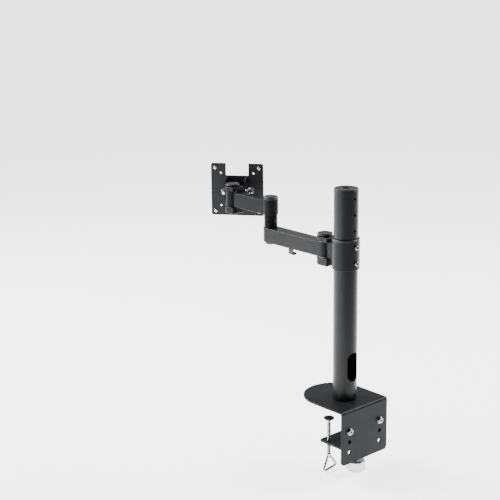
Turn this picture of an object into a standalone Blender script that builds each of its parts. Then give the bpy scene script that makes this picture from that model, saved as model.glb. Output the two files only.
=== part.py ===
"""Pole-mounted monitor arm that clamps to the rear edge of a desk.

Units are metres. The origin is on the pole's axis at the desk's top surface, +Z is up, +Y points over
the desk towards its user, and +X runs along the desk's rear edge.
"""
import math

import bmesh
import bpy
from mathutils import Matrix

# ---- driving dimensions ------------------------------------------------------------------------------

GAP = 0.0003                 # air left between neighbouring pieces

DESK_THICKNESS = 0.025       # board that the clamp grips at rest
PAD_THICKNESS = 0.0009

PLATE_WIDTH = 0.135
PLATE_THICKNESS = 0.004
PLATE_BOTTOM = PAD_THICKNESS + GAP
PLATE_TOP = PLATE_BOTTOM + PLATE_THICKNESS
PLATE_ROUND_CENTRE = 0.027   # centre of the half-round front edge
PLATE_REAR = -0.059          # outer face of the folded-down back
PLATE_LOW = -0.112
FOLD_INNER_RADIUS = 0.002
FOLD_STEPS = 6
BACK_INNER = PLATE_REAR + PLATE_THICKNESS

BOLT_COLUMN = 0.045          # bracket bolt columns, either side of the middle
BOLT_ROWS = (-0.041, -0.064, -0.087)
BOLT_HOLE_RADIUS = 0.00425

BRACKET_HALF_WIDTH = 0.061
BRACKET_THICKNESS = 0.005
BRACKET_SHELF_TOP = -0.075
BRACKET_FRONT = 0.013
BRACKET_BACK = BACK_INNER + GAP
BRACKET_INNER = BRACKET_BACK + BRACKET_THICKNESS
BRACKET_FLANGE_TOP = -0.009

SIDE_SCREW = (0.0485, -0.002)    # clamp screws, mirrored left and right
SIDE_SCREW_RADIUS = 0.0038
SIDE_PAD_RADIUS = 0.011
CENTRE_SCREW_Y = -0.033
CENTRE_SCREW_RADIUS = 0.0049
CENTRE_PAD_RADIUS = 0.0125
CLAMP_PAD_HEIGHT = 0.0057
KNOB_RADIUS = 0.0205
KNOB_TOP = -0.123
KNOB_BOTTOM = -0.147
HANDLE_TOP = -0.1105         # height of the eye that the wire handle hangs in
HANDLE_SIDE = 0.040          # each side of the wire triangle, corner to corner
HANDLE_LEAN = math.radians(7)
HANDLE_WIRE_RADIUS = 0.0025

POLE_RADIUS = 0.025
POLE_WALL = 0.002
POLE_BOTTOM = PLATE_TOP + GAP
POLE_TOP = 0.4515
POLE_CAP_TOP = 0.455
POLE_HOLE_PITCH = 0.0335
POLE_HOLE_TOP = 0.436
POLE_HOLE_COUNT = 5
POLE_HOLE_RADIUS = 0.003
CABLE_SLOT_HALF_WIDTH = 0.014
CABLE_SLOT_BOTTOM = 0.0475
CABLE_SLOT_TOP = 0.1105

COLLAR_RADIUS = 0.0285
COLLAR_BORE = 0.0266
COLLAR_BOTTOM = 0.2875
COLLAR_TOP = 0.3464
LINER_TOP = 0.3515
COLLAR_SCREW_HEIGHTS = (POLE_HOLE_TOP - 3 * POLE_HOLE_PITCH, POLE_HOLE_TOP - 4 * POLE_HOLE_PITCH)

SHOULDER = 0.060             # distance of each upright pivot from the pole's axis, along +Y
ELBOW = 0.225
WRIST = 0.350

LOWER_ARM_BOTTOM = 0.3022
LOWER_ARM_TOP = 0.3336
UPPER_ARM_BOTTOM = 0.3628
UPPER_ARM_TOP = 0.3942
ARM_HALF_WIDTH = 0.015
ELBOW_BARREL_RADIUS = 0.016
ELBOW_BARREL_BOTTOM = 0.3623
ELBOW_BARREL_TOP = 0.3945
ELBOW_CAP_TOP = 0.4024

SHOULDER_EAR_RADIUS = 0.017
SHOULDER_EAR_REAR = 0.038
SHOULDER_EARS = ((0.285, 0.3006), (0.3352, 0.345))
WRIST_EAR_RADIUS = 0.0165
WRIST_EAR_REAR = 0.3300
WRIST_EARS = ((0.346, 0.3595), (0.397, 0.4053))

HEAD_TURN = math.radians(-52)    # rest direction of the head about the wrist, from +Y towards +X
TILT_AXIS = 0.033                # distances in the head's own frame, out from the wrist
TILT_HEIGHT = 0.385
TILT_BARREL_RADIUS = 0.0115
TILT_BARREL_HALF = 0.0197
TILT_EAR_OUTER = 0.0235
TILT_EAR_THICKNESS = 0.0035
TILT_EAR_FRONT = 0.025
TILT_WEB_FRONT = 0.053
TILT_HALF_HEIGHT = 0.030

VESA_BACK = 0.0548
VESA_THICKNESS = 0.0025
VESA_HALF = 0.060
VESA_NOTCH_HALF = 0.026
VESA_NOTCH_DEPTH = 0.028
VESA_OUTER_HOLE = 0.050
VESA_INNER_HOLE = 0.0375

CLIP_WIDTHS = {"lower": 0.013, "upper": 0.008}
CLIP_SIZE = 0.016
CLIP_WALL = 0.0025

ROUND = 40                   # sides of a large round piece
SMALL_ROUND = 24
SCREW_SIDES = 16

# ---- finishes ----------------------------------------------------------------------------------------

FINISHES = {
    "black_powder_coat": ((0.030, 0.031, 0.033), 0.48, 0.0),
    "black_cast": ((0.040, 0.041, 0.043), 0.42, 0.0),
    "black_plastic": ((0.018, 0.018, 0.019), 0.55, 0.0),
    "chrome": ((0.78, 0.79, 0.80), 0.12, 1.0),
    "zinc": ((0.55, 0.56, 0.57), 0.30, 1.0),
    "black_rubber": ((0.015, 0.015, 0.015), 0.80, 0.0),
    "nylon": ((0.62, 0.61, 0.57), 0.45, 0.0),
}


def finish(name):
    """Returns the named finish, making its material on first use."""
    material = bpy.data.materials.get(name)
    if material is None:
        colour, roughness, metallic = FINISHES[name]
        material = bpy.data.materials.new(name)
        material.use_nodes = True
        shader = material.node_tree.nodes["Principled BSDF"]
        shader.inputs["Base Color"].default_value = (*colour, 1.0)
        shader.inputs["Roughness"].default_value = roughness
        shader.inputs["Metallic"].default_value = metallic
    return material


# ---- modelling helpers -------------------------------------------------------------------------------

def clear_scene():
    """Removes every object that the new file starts with."""
    for item in list(bpy.data.objects):
        bpy.data.objects.remove(item, do_unlink=True)


def pivot(name, location, parent=None, turn=0.0):
    """Adds an empty on a joint's axis, placed in its parent's frame."""
    empty = bpy.data.objects.new(name, None)
    empty.empty_display_size = 0.02
    empty.location = location
    empty.rotation_euler = (0.0, 0.0, turn)
    empty.parent = parent
    bpy.context.collection.objects.link(empty)
    return empty


def add_object(name, bm, finish_name, parent, location, rotation, crease=35):
    """Turns an edited mesh into a shaded object with its own finish."""
    bmesh.ops.recalc_face_normals(bm, faces=bm.faces)
    mesh = bpy.data.meshes.new(name)
    bm.to_mesh(mesh)
    bm.free()
    mesh.shade_smooth()
    mesh.set_sharp_from_angle(angle=math.radians(crease))
    item = bpy.data.objects.new(name, mesh)
    item.location = location
    item.rotation_euler = rotation
    item.parent = parent
    bpy.context.collection.objects.link(item)
    if finish_name:
        mesh.materials.append(finish(finish_name))
    return item


def turned(name, profile, finish_name=None, parent=None, location=(0, 0, 0), rotation=(0, 0, 0), sides=ROUND):
    """Spins a profile of (radius, height) points about Z.

    A profile that starts on the axis makes a solid, and any other closes on itself as a ring.
    """
    bm = bmesh.new()
    verts = [bm.verts.new((radius, 0.0, height)) for radius, height in profile]
    edges = [bm.edges.new(pair) for pair in zip(verts, verts[1:])]
    if profile[0][0] > 0:
        edges.append(bm.edges.new((verts[-1], verts[0])))
    bmesh.ops.spin(bm, geom=verts + edges, cent=(0, 0, 0), axis=(0, 0, 1), angle=math.tau, steps=sides,
                   use_merge=True)
    bmesh.ops.remove_doubles(bm, verts=bm.verts, dist=1e-6)
    return add_object(name, bm, finish_name, parent, location, rotation)


def rod(radius, low, high, chamfer=0.0):
    """Returns the profile of a plain round bar, chamfered at both ends."""
    return [(0.0, low), (radius - chamfer, low), (radius, low + chamfer), (radius, high - chamfer),
            (radius - chamfer, high), (0.0, high)] if chamfer else \
        [(0.0, low), (radius, low), (radius, high), (0.0, high)]


def ring(inner, outer, low, high, chamfer=0.0):
    """Returns the profile of a washer, bush or tube, chamfered outside."""
    if not chamfer:
        return [(inner, low), (outer, low), (outer, high), (inner, high)]
    return [(inner, low), (outer - chamfer, low), (outer, low + chamfer), (outer, high - chamfer),
            (outer - chamfer, high), (inner, high)]


def arc(centre, radius, start, end, steps):
    """Returns points along an arc, with its angles in degrees."""
    angles = [math.radians(start + (end - start) * step / steps) for step in range(steps + 1)]
    return [(centre[0] + radius * math.cos(a), centre[1] + radius * math.sin(a)) for a in angles]


def rounded_rectangle(x_low, x_high, y_low, y_high, radius, steps=5):
    """Returns the outline of a rectangle with four round corners."""
    return (arc((x_high - radius, y_low + radius), radius, -90, 0, steps)
            + arc((x_high - radius, y_high - radius), radius, 0, 90, steps)
            + arc((x_low + radius, y_high - radius), radius, 90, 180, steps)
            + arc((x_low + radius, y_low + radius), radius, 180, 270, steps))


def prism_mesh(outline, low, high):
    """Extrudes a flat outline from one height to another."""
    bm = bmesh.new()
    face = bm.faces.new([bm.verts.new((x, y, low)) for x, y in outline])
    grown = bmesh.ops.extrude_face_region(bm, geom=[face])["geom"]
    top = [part for part in grown if isinstance(part, bmesh.types.BMVert)]
    bmesh.ops.translate(bm, verts=top, vec=(0, 0, high - low))
    return bm


def prism(name, outline, low, high, finish_name=None, parent=None, location=(0, 0, 0), rotation=(0, 0, 0)):
    """Adds an extruded outline as an object."""
    return add_object(name, prism_mesh(outline, low, high), finish_name, parent, location, rotation)


def box(name, x_range, y_range, z_range, finish_name=None, parent=None, rotation=(0, 0, 0)):
    """Adds a block between the given limits."""
    outline = [(x_range[0], y_range[0]), (x_range[1], y_range[0]), (x_range[1], y_range[1]),
               (x_range[0], y_range[1])]
    return prism(name, outline, z_range[0], z_range[1], finish_name, parent, rotation=rotation)


def soften(item, width, segments=2, angle=50):
    """Rounds an object's sharp edges with a Bevel modifier."""
    bevel = item.modifiers.new("edges", "BEVEL")
    bevel.width = width
    bevel.segments = segments
    bevel.limit_method = "ANGLE"
    bevel.angle_limit = math.radians(angle)
    bevel.harden_normals = False


def combine(item, tools, operation):
    """Joins or cuts an object with helper solids, which the finished part leaves out."""
    for tool in tools:
        tool.hide_render = True
        tool.display_type = "WIRE"
        step = item.modifiers.new(operation.lower(), "BOOLEAN")
        step.operation = operation
        step.solver = "EXACT"
        step.object = tool


def hole(name, radius, low, high, parent=None, location=(0, 0, 0), rotation=(0, 0, 0), sides=SMALL_ROUND):
    """Adds a round cutter along its own Z."""
    return turned(name, rod(radius, low, high), None, parent, location, rotation, sides)


def stepped_hole(name, wide_radius, step_height, narrow_radius, parent, location):
    """Adds an upright cutter that is wide below a height, for a nut, and narrow above it, for a bolt."""
    profile = [(0.0, 0.27), (wide_radius, 0.27), (wide_radius, step_height), (narrow_radius, step_height),
               (narrow_radius, 0.42), (0.0, 0.42)]
    return turned(name, profile, None, parent, location, sides=SMALL_ROUND)


FACING_REAR = (math.radians(90), 0, 0)     # turns a piece's +Z to face -Y
FACING_FRONT = (math.radians(-90), 0, 0)   # turns a piece's +Z to face +Y
FACING_RIGHT = (0, math.radians(90), 0)    # turns a piece's +Z to face +X


def socket_screw(name, head_radius, head_height, shank_radius, length, key_radius, finish_name, parent,
                 location, rotation=(0, 0, 0)):
    """Makes a socket-head screw whose head's underside is at its own origin and whose shank runs down -Z."""
    dome = head_height * 0.45
    profile = [(0.0, -length), (shank_radius - 0.0005, -length), (shank_radius, -length + 0.0005),
               (shank_radius, 0.0), (head_radius, 0.0), (head_radius, head_height - dome),
               (head_radius * 0.82, head_height), (0.0, head_height)]
    screw = turned(name, profile, finish_name, parent, location, rotation, SCREW_SIDES)
    key = turned(name + "_key", rod(key_radius, head_height * 0.3, head_height + 0.001), None, parent,
                 location, rotation, 6)
    combine(screw, [key], "DIFFERENCE")
    return screw


def hex_nut(name, across, bore, low, high, finish_name, parent, location=(0, 0, 0), rotation=(0, 0, 0)):
    """Makes a hexagon nut with a plain bore."""
    corner = across / math.sqrt(3)
    outline = arc((0, 0), corner, 0, 300, 5)
    nut = prism(name, outline, low, high, finish_name, parent, location, rotation)
    combine(nut, [hole(name + "_bore", bore, low - 0.001, high + 0.001, parent, location, rotation)], "DIFFERENCE")
    return nut


# ---- clamp and pole ----------------------------------------------------------------------------------

def plan_outline(half_width, front_radius, rear):
    """Returns the plan of the desk plate or its pad: straight sides and a half-round front."""
    front = arc((0, PLATE_ROUND_CENTRE), front_radius, 0, 180, 32)
    return [(half_width, rear)] + front + [(-half_width, rear)]


def extrude_face(bm, face):
    """Extrudes one face in place and returns the new face with its vertices."""
    grown = bmesh.ops.extrude_face_region(bm, geom=[face])["geom"]
    moved = [part for part in grown if isinstance(part, bmesh.types.BMVert)]
    bmesh.ops.delete(bm, geom=[face], context="FACES_ONLY")
    return next(part for part in grown if isinstance(part, bmesh.types.BMFace)), moved


def build_desk_plate():
    """Folds the desk plate down behind the desk and drills it."""
    half = PLATE_WIDTH / 2
    fold_start = PLATE_REAR + PLATE_THICKNESS + FOLD_INNER_RADIUS
    bm = prism_mesh(plan_outline(half, half, fold_start), PLATE_BOTTOM, PLATE_TOP)
    end = min(bm.faces, key=lambda face: face.calc_center_median().y)
    fold = Matrix.Rotation(math.radians(90 / FOLD_STEPS), 4, "X")
    for _ in range(FOLD_STEPS):
        end, moved = extrude_face(bm, end)
        bmesh.ops.rotate(bm, verts=moved, cent=(0, fold_start, PLATE_BOTTOM - FOLD_INNER_RADIUS), matrix=fold)
    end, moved = extrude_face(bm, end)
    bmesh.ops.translate(bm, verts=moved, vec=(0, 0, PLATE_LOW - moved[0].co.z))
    corners = [edge for edge in bm.edges
               if all(abs(vert.co.z - PLATE_LOW) < 1e-5 for vert in edge.verts)
               and abs(edge.verts[0].co.x - edge.verts[1].co.x) < 1e-6]
    bmesh.ops.bevel(bm, geom=corners, offset=0.008, segments=5, profile=0.5, affect="EDGES")
    plate = add_object("desk_plate", bm, "black_powder_coat", None, (0, 0, 0), (0, 0, 0))
    soften(plate, 0.0005, segments=1)
    holes = [hole(f"plate_hole_{side}_{row}", BOLT_HOLE_RADIUS, -0.01, 0.01, None,
                  (side * BOLT_COLUMN, PLATE_REAR, height), FACING_REAR)
             for side in (-1, 1) for row, height in enumerate(BOLT_ROWS)]
    sinks = [turned(f"plate_sink_{index}", [(0, PLATE_BOTTOM - 0.001), (0.0062, PLATE_BOTTOM - 0.001),
                                            (0.0062, PLATE_BOTTOM), (0.0030, PLATE_BOTTOM + 0.0032),
                                            (0.0030, PLATE_TOP + 0.001), (0, PLATE_TOP + 0.001)],
                    None, None, (*spot, 0), sides=SMALL_ROUND) for index, spot in enumerate(foot_screw_spots())]
    combine(plate, holes + sinks, "DIFFERENCE")


def foot_screw_spots():
    """Returns where the three screws come up into the pole's foot."""
    return arc((0, 0), 0.014, 90, 330, 2)


def build_pole():
    """Makes the pole with its foot, screws, cable slot, hole row and cap."""
    prism("desk_pad", plan_outline(PLATE_WIDTH / 2 - 0.003, PLATE_WIDTH / 2 - 0.003, -0.049), 0, PAD_THICKNESS,
          "black_rubber")
    inner = POLE_RADIUS - POLE_WALL
    pole = turned("pole", ring(inner, POLE_RADIUS, POLE_BOTTOM, POLE_TOP), "black_powder_coat", sides=56)
    holes = [hole(f"pole_hole_{index}", POLE_HOLE_RADIUS, 0.0, 0.03, None,
                  (0, 0, POLE_HOLE_TOP - index * POLE_HOLE_PITCH), FACING_REAR, sides=16)
             for index in range(POLE_HOLE_COUNT)]
    width = CABLE_SLOT_HALF_WIDTH
    outline = (arc((0, CABLE_SLOT_TOP - width), width, 0, 180, 10)
               + arc((0, CABLE_SLOT_BOTTOM + width), width, 180, 360, 10))
    slot = prism("pole_slot", outline, 0.0, 0.03, rotation=FACING_REAR)
    combine(pole, holes + [slot], "DIFFERENCE")

    plug = turned("pole_foot", rod(inner - GAP, POLE_BOTTOM, POLE_BOTTOM + 0.016, 0.001), "zinc")
    combine(plug, [hole(f"foot_hole_{index}", 0.0029, 0.0, POLE_BOTTOM + 0.013, None, (*spot, 0), sides=16)
                   for index, spot in enumerate(foot_screw_spots())], "DIFFERENCE")
    for index, spot in enumerate(foot_screw_spots()):
        profile = [(0, PLATE_BOTTOM + GAP), (0.0055, PLATE_BOTTOM + GAP), (0.0025, PLATE_BOTTOM + 0.0034),
                   (0.0025, POLE_BOTTOM + 0.012), (0, POLE_BOTTOM + 0.012)]
        turned(f"pole_foot_screw_{index + 1}", profile, "zinc", location=(*spot, 0), sides=16)

    cap_low = POLE_TOP + GAP
    cap = turned("pole_cap", [(0, cap_low - 0.010), (inner - GAP, cap_low - 0.010), (inner - GAP, cap_low),
                              (POLE_RADIUS - 0.0002, cap_low), (POLE_RADIUS - 0.0002, POLE_CAP_TOP - 0.0014),
                              (POLE_RADIUS - 0.0016, POLE_CAP_TOP), (0, POLE_CAP_TOP)], "black_plastic", sides=56)
    opening = prism("cap_opening", rounded_rectangle(-0.006, 0.006, -0.009, 0.009, 0.005), 0.43, 0.47)
    combine(cap, [opening], "DIFFERENCE")


def build_bracket():
    """Makes the L-shaped lower bracket and the bolts that hold it to the folded plate."""
    shelf_low = BRACKET_SHELF_TOP - BRACKET_THICKNESS
    bend = 0.003
    profile = ([(BRACKET_FRONT, shelf_low), (BRACKET_FRONT, BRACKET_SHELF_TOP)]
               + arc((BRACKET_INNER + bend, BRACKET_SHELF_TOP + bend), bend, 270, 180, 4)
               + [(BRACKET_INNER, BRACKET_FLANGE_TOP), (BRACKET_BACK, BRACKET_FLANGE_TOP)]
               + arc((BRACKET_BACK + bend + BRACKET_THICKNESS, shelf_low + bend + BRACKET_THICKNESS),
                     bend + BRACKET_THICKNESS, 180, 270, 6))
    bm = prism_mesh(profile, -BRACKET_HALF_WIDTH, BRACKET_HALF_WIDTH)
    bmesh.ops.transform(bm, verts=bm.verts, matrix=Matrix(((0, 0, 1, 0), (1, 0, 0, 0), (0, 1, 0, 0), (0, 0, 0, 1))))
    bracket = add_object("clamp_bracket", bm, "black_powder_coat", None, (0, 0, 0), (0, 0, 0))
    soften(bracket, 0.0006, segments=1)
    bolt_holes = [hole(f"bracket_hole_{side}", BOLT_HOLE_RADIUS, -0.01, 0.012, None,
                       (side * BOLT_COLUMN, BRACKET_BACK, BOLT_ROWS[0]), FACING_REAR) for side in (-1, 1)]
    screw_holes = [hole(f"bracket_bore_{side}", SIDE_SCREW_RADIUS + GAP, shelf_low - 0.002,
                        BRACKET_SHELF_TOP + 0.002, None, (side * SIDE_SCREW[0], SIDE_SCREW[1], 0))
                   for side in (-1, 1)]
    screw_holes.append(hole("bracket_bore_0", CENTRE_SCREW_RADIUS + GAP, shelf_low - 0.002,
                            BRACKET_SHELF_TOP + 0.002, None, (0, CENTRE_SCREW_Y, 0)))
    combine(bracket, bolt_holes + screw_holes, "DIFFERENCE")

    for side, label in ((-1, "left"), (1, "right")):
        socket_screw(f"bracket_bolt_{label}", 0.0078, 0.0046, 0.0039, 0.0195, 0.0028, "chrome", None,
                     (side * BOLT_COLUMN, PLATE_REAR - GAP, BOLT_ROWS[0]), FACING_REAR)
        hex_nut(f"bracket_nut_{label}", 0.013, 0.0042, 0.0, 0.0065, "zinc", None,
                (side * BOLT_COLUMN, BRACKET_INNER + GAP, BOLT_ROWS[0]), FACING_FRONT)


def build_clamp_pad(label, radius, screw_radius, lift):
    """Makes a swivel pad that pushes up against the desk, on its screw's ball end."""
    top = 0.0
    low = -CLAMP_PAD_HEIGHT
    turned(f"clamp_pad_{label}",
           [(0, top), (radius - 0.0008, top), (radius, top - 0.0008), (radius, top - 0.003),
            (screw_radius + 0.003, low), (screw_radius, low), (screw_radius, low + 0.0022), (0, low + 0.0022)],
           "black_plastic", lift, sides=SMALL_ROUND)


def threaded_profile(radius, low, high):
    """Returns a clamp screw's shank with a relieved neck at its pad end."""
    return [(0, low), (radius - 0.0006, low), (radius, low + 0.0006), (radius, high - 0.006),
            (radius - 0.0008, high - 0.005), (radius - 0.0008, high - 0.0004), (radius - 0.0014, high), (0, high)]


def handle_path(eye, lean_side):
    """Returns the wire triangle's centre line as (across, height), hung from its eye and leaning to one side."""
    corner = 0.0042
    inset = corner / math.sin(math.radians(30))
    path = []
    for index in range(3):
        facing = math.radians(90 + 120 * index)
        reach = HANDLE_SIDE / math.sqrt(3) - inset
        middle = (reach * math.cos(facing), reach * math.sin(facing))
        path += arc(middle, corner, 30 + 120 * index, 150 + 120 * index, 5)
    top = max(height for _, height in path)
    cos, sin = math.cos(HANDLE_LEAN), math.sin(HANDLE_LEAN)
    return [(lean_side * (across * cos - (height - top) * sin), eye + across * sin + (height - top) * cos)
            for across, height in path]


def bent_wire(name, path, radius, finish_name, parent):
    """Makes a closed loop of round wire, upright in its parent's XZ plane."""
    curve = bpy.data.curves.new(name + "_line", "CURVE")
    curve.dimensions = "3D"
    curve.bevel_depth = radius
    curve.bevel_resolution = 2
    spline = curve.splines.new("POLY")
    spline.points.add(len(path) - 1)
    for point, (across, height) in zip(spline.points, path):
        point.co = (across, 0, height, 1)
    spline.use_cyclic_u = True
    line = bpy.data.objects.new(name + "_line", curve)
    bm = bmesh.new()
    bm.from_mesh(line.to_mesh())
    bpy.data.objects.remove(line, do_unlink=True)
    bmesh.ops.remove_doubles(bm, verts=bm.verts, dist=1e-6)
    return add_object(name, bm, finish_name, parent, (0, 0, 0), (0, 0, 0))


def build_side_screw(side, label):
    """Makes one side clamp screw with its pad and its triangular wire handle."""
    lift = pivot(f"clamp_lift_{label}", (side * SIDE_SCREW[0], SIDE_SCREW[1], -DESK_THICKNESS))
    build_clamp_pad(label, SIDE_PAD_RADIUS, SIDE_SCREW_RADIUS, lift)
    turn = pivot(f"clamp_turn_{label}", (0, 0, 0), lift)
    top = -CLAMP_PAD_HEIGHT + 0.0022 - GAP
    eye = HANDLE_TOP + DESK_THICKNESS
    boss = 0.0050
    profile = [(0, eye - 0.0048), (boss - 0.0012, eye - 0.0048), (boss, eye - 0.0036)]
    profile += [(boss, eye + 0.0040), (SIDE_SCREW_RADIUS, eye + 0.0056)]
    profile += threaded_profile(SIDE_SCREW_RADIUS, eye, top)[3:]
    screw = turned(f"clamp_screw_{label}", profile, "chrome", turn, sides=SMALL_ROUND)
    path = handle_path(eye, -side)
    combine(screw, [bent_wire(f"clamp_eye_{label}", path, HANDLE_WIRE_RADIUS + GAP, None, turn)], "DIFFERENCE")
    bent_wire(f"clamp_handle_{label}", path, HANDLE_WIRE_RADIUS, "chrome", turn)


def build_centre_screw():
    """Makes the middle clamp screw with its pad and its round knob."""
    lift = pivot("clamp_lift_centre", (0, CENTRE_SCREW_Y, -DESK_THICKNESS))
    build_clamp_pad("centre", CENTRE_PAD_RADIUS, CENTRE_SCREW_RADIUS, lift)
    turn = pivot("clamp_turn_centre", (0, 0, 0), lift)
    top = -CLAMP_PAD_HEIGHT + 0.0022 - GAP
    knob_top = KNOB_TOP + DESK_THICKNESS
    knob_low = KNOB_BOTTOM + DESK_THICKNESS
    depth = 0.014
    turned("clamp_screw_centre", threaded_profile(CENTRE_SCREW_RADIUS, knob_top - depth, top), "chrome", turn,
           sides=SMALL_ROUND)
    bore = CENTRE_SCREW_RADIUS + GAP
    turned("clamp_knob", [(0, knob_low), (KNOB_RADIUS - 0.0015, knob_low), (KNOB_RADIUS, knob_low + 0.0015),
                          (KNOB_RADIUS, knob_top - 0.003), (KNOB_RADIUS - 0.002, knob_top - 0.001),
                          (0.010, knob_top), (bore, knob_top), (bore, knob_top - depth - GAP),
                          (0, knob_top - depth - GAP)], "chrome", turn)


# ---- arms --------------------------------------------------------------------------------------------

def ear_outline(radius, rear, centre):
    """Returns a fork ear's plan: square at its back, half-round about the pivot at its front."""
    return [(radius, rear)] + arc((0, centre), radius, 0, 180, 16) + [(-radius, rear)]


def build_collar():
    """Makes the collar casting with its fork, liner, height screws and shoulder pivot pieces."""
    carrier = pivot("collar_carrier", (0, 0, 0))
    collar = turned("collar", ring(COLLAR_BORE, COLLAR_RADIUS, COLLAR_BOTTOM, COLLAR_TOP, 0.0008),
                    "black_cast", carrier, sides=56)
    web = box("collar_web", (-0.010, 0.010), (0.0272, SHOULDER - 0.0165),
              (SHOULDER_EARS[0][1] - 0.003, SHOULDER_EARS[1][0] + 0.0013), parent=carrier)
    ears = []
    for index, (low, high) in enumerate(SHOULDER_EARS):
        ear = prism(f"collar_ear_{index}", ear_outline(SHOULDER_EAR_RADIUS, SHOULDER_EAR_REAR, SHOULDER),
                    low, high, parent=carrier)
        soften(ear, 0.0010 if index else 0.0016)
        ears.append(ear)
    combine(collar, [web] + ears, "UNION")
    shaft = stepped_hole("collar_shaft", 0.0090, SHOULDER_EARS[0][0] + 0.009, 0.0053, carrier, (0, SHOULDER, 0))
    taps = [hole(f"collar_tap_{index}", 0.0031, 0.0, 0.04, carrier, (0, 0, height), FACING_REAR, sides=18)
            for index, height in enumerate(COLLAR_SCREW_HEIGHTS)]
    combine(collar, [shaft] + taps, "DIFFERENCE")

    liner_outer = COLLAR_BORE - GAP
    liner = turned("collar_liner",
                   [(POLE_RADIUS + GAP, COLLAR_BOTTOM + 0.001), (liner_outer, COLLAR_BOTTOM + 0.001),
                    (liner_outer, COLLAR_TOP + GAP), (COLLAR_RADIUS - 0.0004, COLLAR_TOP + GAP),
                    (COLLAR_RADIUS, COLLAR_TOP + GAP + 0.0004), (COLLAR_RADIUS, LINER_TOP - 0.0012),
                    (COLLAR_RADIUS - 0.0012, LINER_TOP), (POLE_RADIUS + GAP, LINER_TOP)],
                   "black_plastic", carrier, sides=56)
    combine(liner, [hole(f"liner_hole_{index}", 0.0031, 0.0, 0.04, carrier, (0, 0, height), FACING_REAR, sides=18)
                    for index, height in enumerate(COLLAR_SCREW_HEIGHTS)], "DIFFERENCE")
    for label, height in zip(("upper", "lower"), COLLAR_SCREW_HEIGHTS):
        socket_screw(f"collar_screw_{label}", 0.0050, 0.0048, 0.0026, 0.0033, 0.0025, "chrome", carrier,
                     (0, -COLLAR_RADIUS - GAP, height), FACING_REAR)

    ear_top = SHOULDER_EARS[1][1]
    socket_screw("shoulder_bolt", 0.0080, 0.0047, 0.0049, ear_top - SHOULDER_EARS[0][0] - 0.0015, 0.0040, "zinc",
                 carrier, (0, SHOULDER, ear_top + GAP))
    turned("shoulder_cap", cap_profile(0.016, ear_top + 0.0023, ear_top + 0.0065, 0.0086, ear_top + 0.0054),
           "black_plastic", carrier, (0, SHOULDER, 0))
    hex_nut("shoulder_nut", 0.0155, 0.0052, SHOULDER_EARS[0][0] + 0.001, SHOULDER_EARS[0][0] + 0.0087, "zinc",
            carrier, (0, SHOULDER, 0))
    turned("shoulder_washer_upper", ring(0.0052, 0.0140, LOWER_ARM_TOP + GAP, SHOULDER_EARS[1][0] - GAP), "nylon",
           carrier, (0, SHOULDER, 0), sides=SMALL_ROUND)
    turned("shoulder_washer_lower", ring(0.0052, 0.0140, SHOULDER_EARS[0][1] + GAP, LOWER_ARM_BOTTOM - GAP), "nylon",
           carrier, (0, SHOULDER, 0), sides=SMALL_ROUND)
    return carrier


def cap_profile(radius, low, high, recess, recess_top):
    """Returns a push-on cap's profile, with a recess underneath for a bolt head or nut."""
    return [(0, high), (radius - 0.0016, high), (radius - 0.0005, high - 0.0005), (radius, high - 0.0016),
            (radius, low), (recess, low), (recess, recess_top), (0, recess_top)]


def clip_outline():
    """Returns the cable clip's C shape, hanging from y = 0 and open towards +x."""
    half = CLIP_SIZE / 2
    wall = CLIP_WALL
    return ([(half, 0), (-half + 0.003, 0)]
            + arc((-half + 0.003, -0.003), 0.003, 90, 180, 3)[1:]
            + arc((-half + 0.004, -CLIP_SIZE + 0.004), 0.004, 180, 270, 4)
            + arc((half - 0.006, -CLIP_SIZE + 0.003), 0.003, 270, 360, 4)
            + [(half - 0.003, -CLIP_SIZE + 0.0065), (half - 0.003 - wall * 0.7, -CLIP_SIZE + 0.0065),
               (half - 0.003 - wall * 0.8, -CLIP_SIZE + wall), (-half + 0.004, -CLIP_SIZE + wall),
               (-half + wall, -CLIP_SIZE + 0.004), (-half + wall, -wall), (half, -wall)])


def build_clip(prefix, parent, along, surface, upward):
    """Makes a cable clip and its small screw, below an arm or, turned over, on top of it."""
    roll = math.radians(180) if upward else 0.0
    offset = GAP if upward else -GAP
    width = CLIP_WIDTHS[prefix]
    place = (0, along + width / 2, surface + offset)
    bm = prism_mesh(clip_outline(), 0.0, width)
    bmesh.ops.transform(bm, verts=bm.verts, matrix=Matrix.Rotation(math.radians(90), 4, "X"))
    clip = add_object(f"{prefix}_cable_clip", bm, "black_plastic", parent, place, (0, roll, 0))
    middle = (0, along, surface + offset)
    combine(clip, [hole(f"{prefix}_clip_hole", 0.0018, -0.006, 0.003, parent, middle, (0, roll, 0), sides=12)],
            "DIFFERENCE")
    seat = surface + (offset + CLIP_WALL + GAP if upward else offset - CLIP_WALL - GAP)
    turn = (0, 0, 0) if upward else (math.radians(180), 0, 0)
    socket_screw(f"{prefix}_clip_screw", 0.0029, 0.0018, 0.00145, 0.008, 0.0011, "zinc", parent,
                 (0, along, seat), turn)


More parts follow.
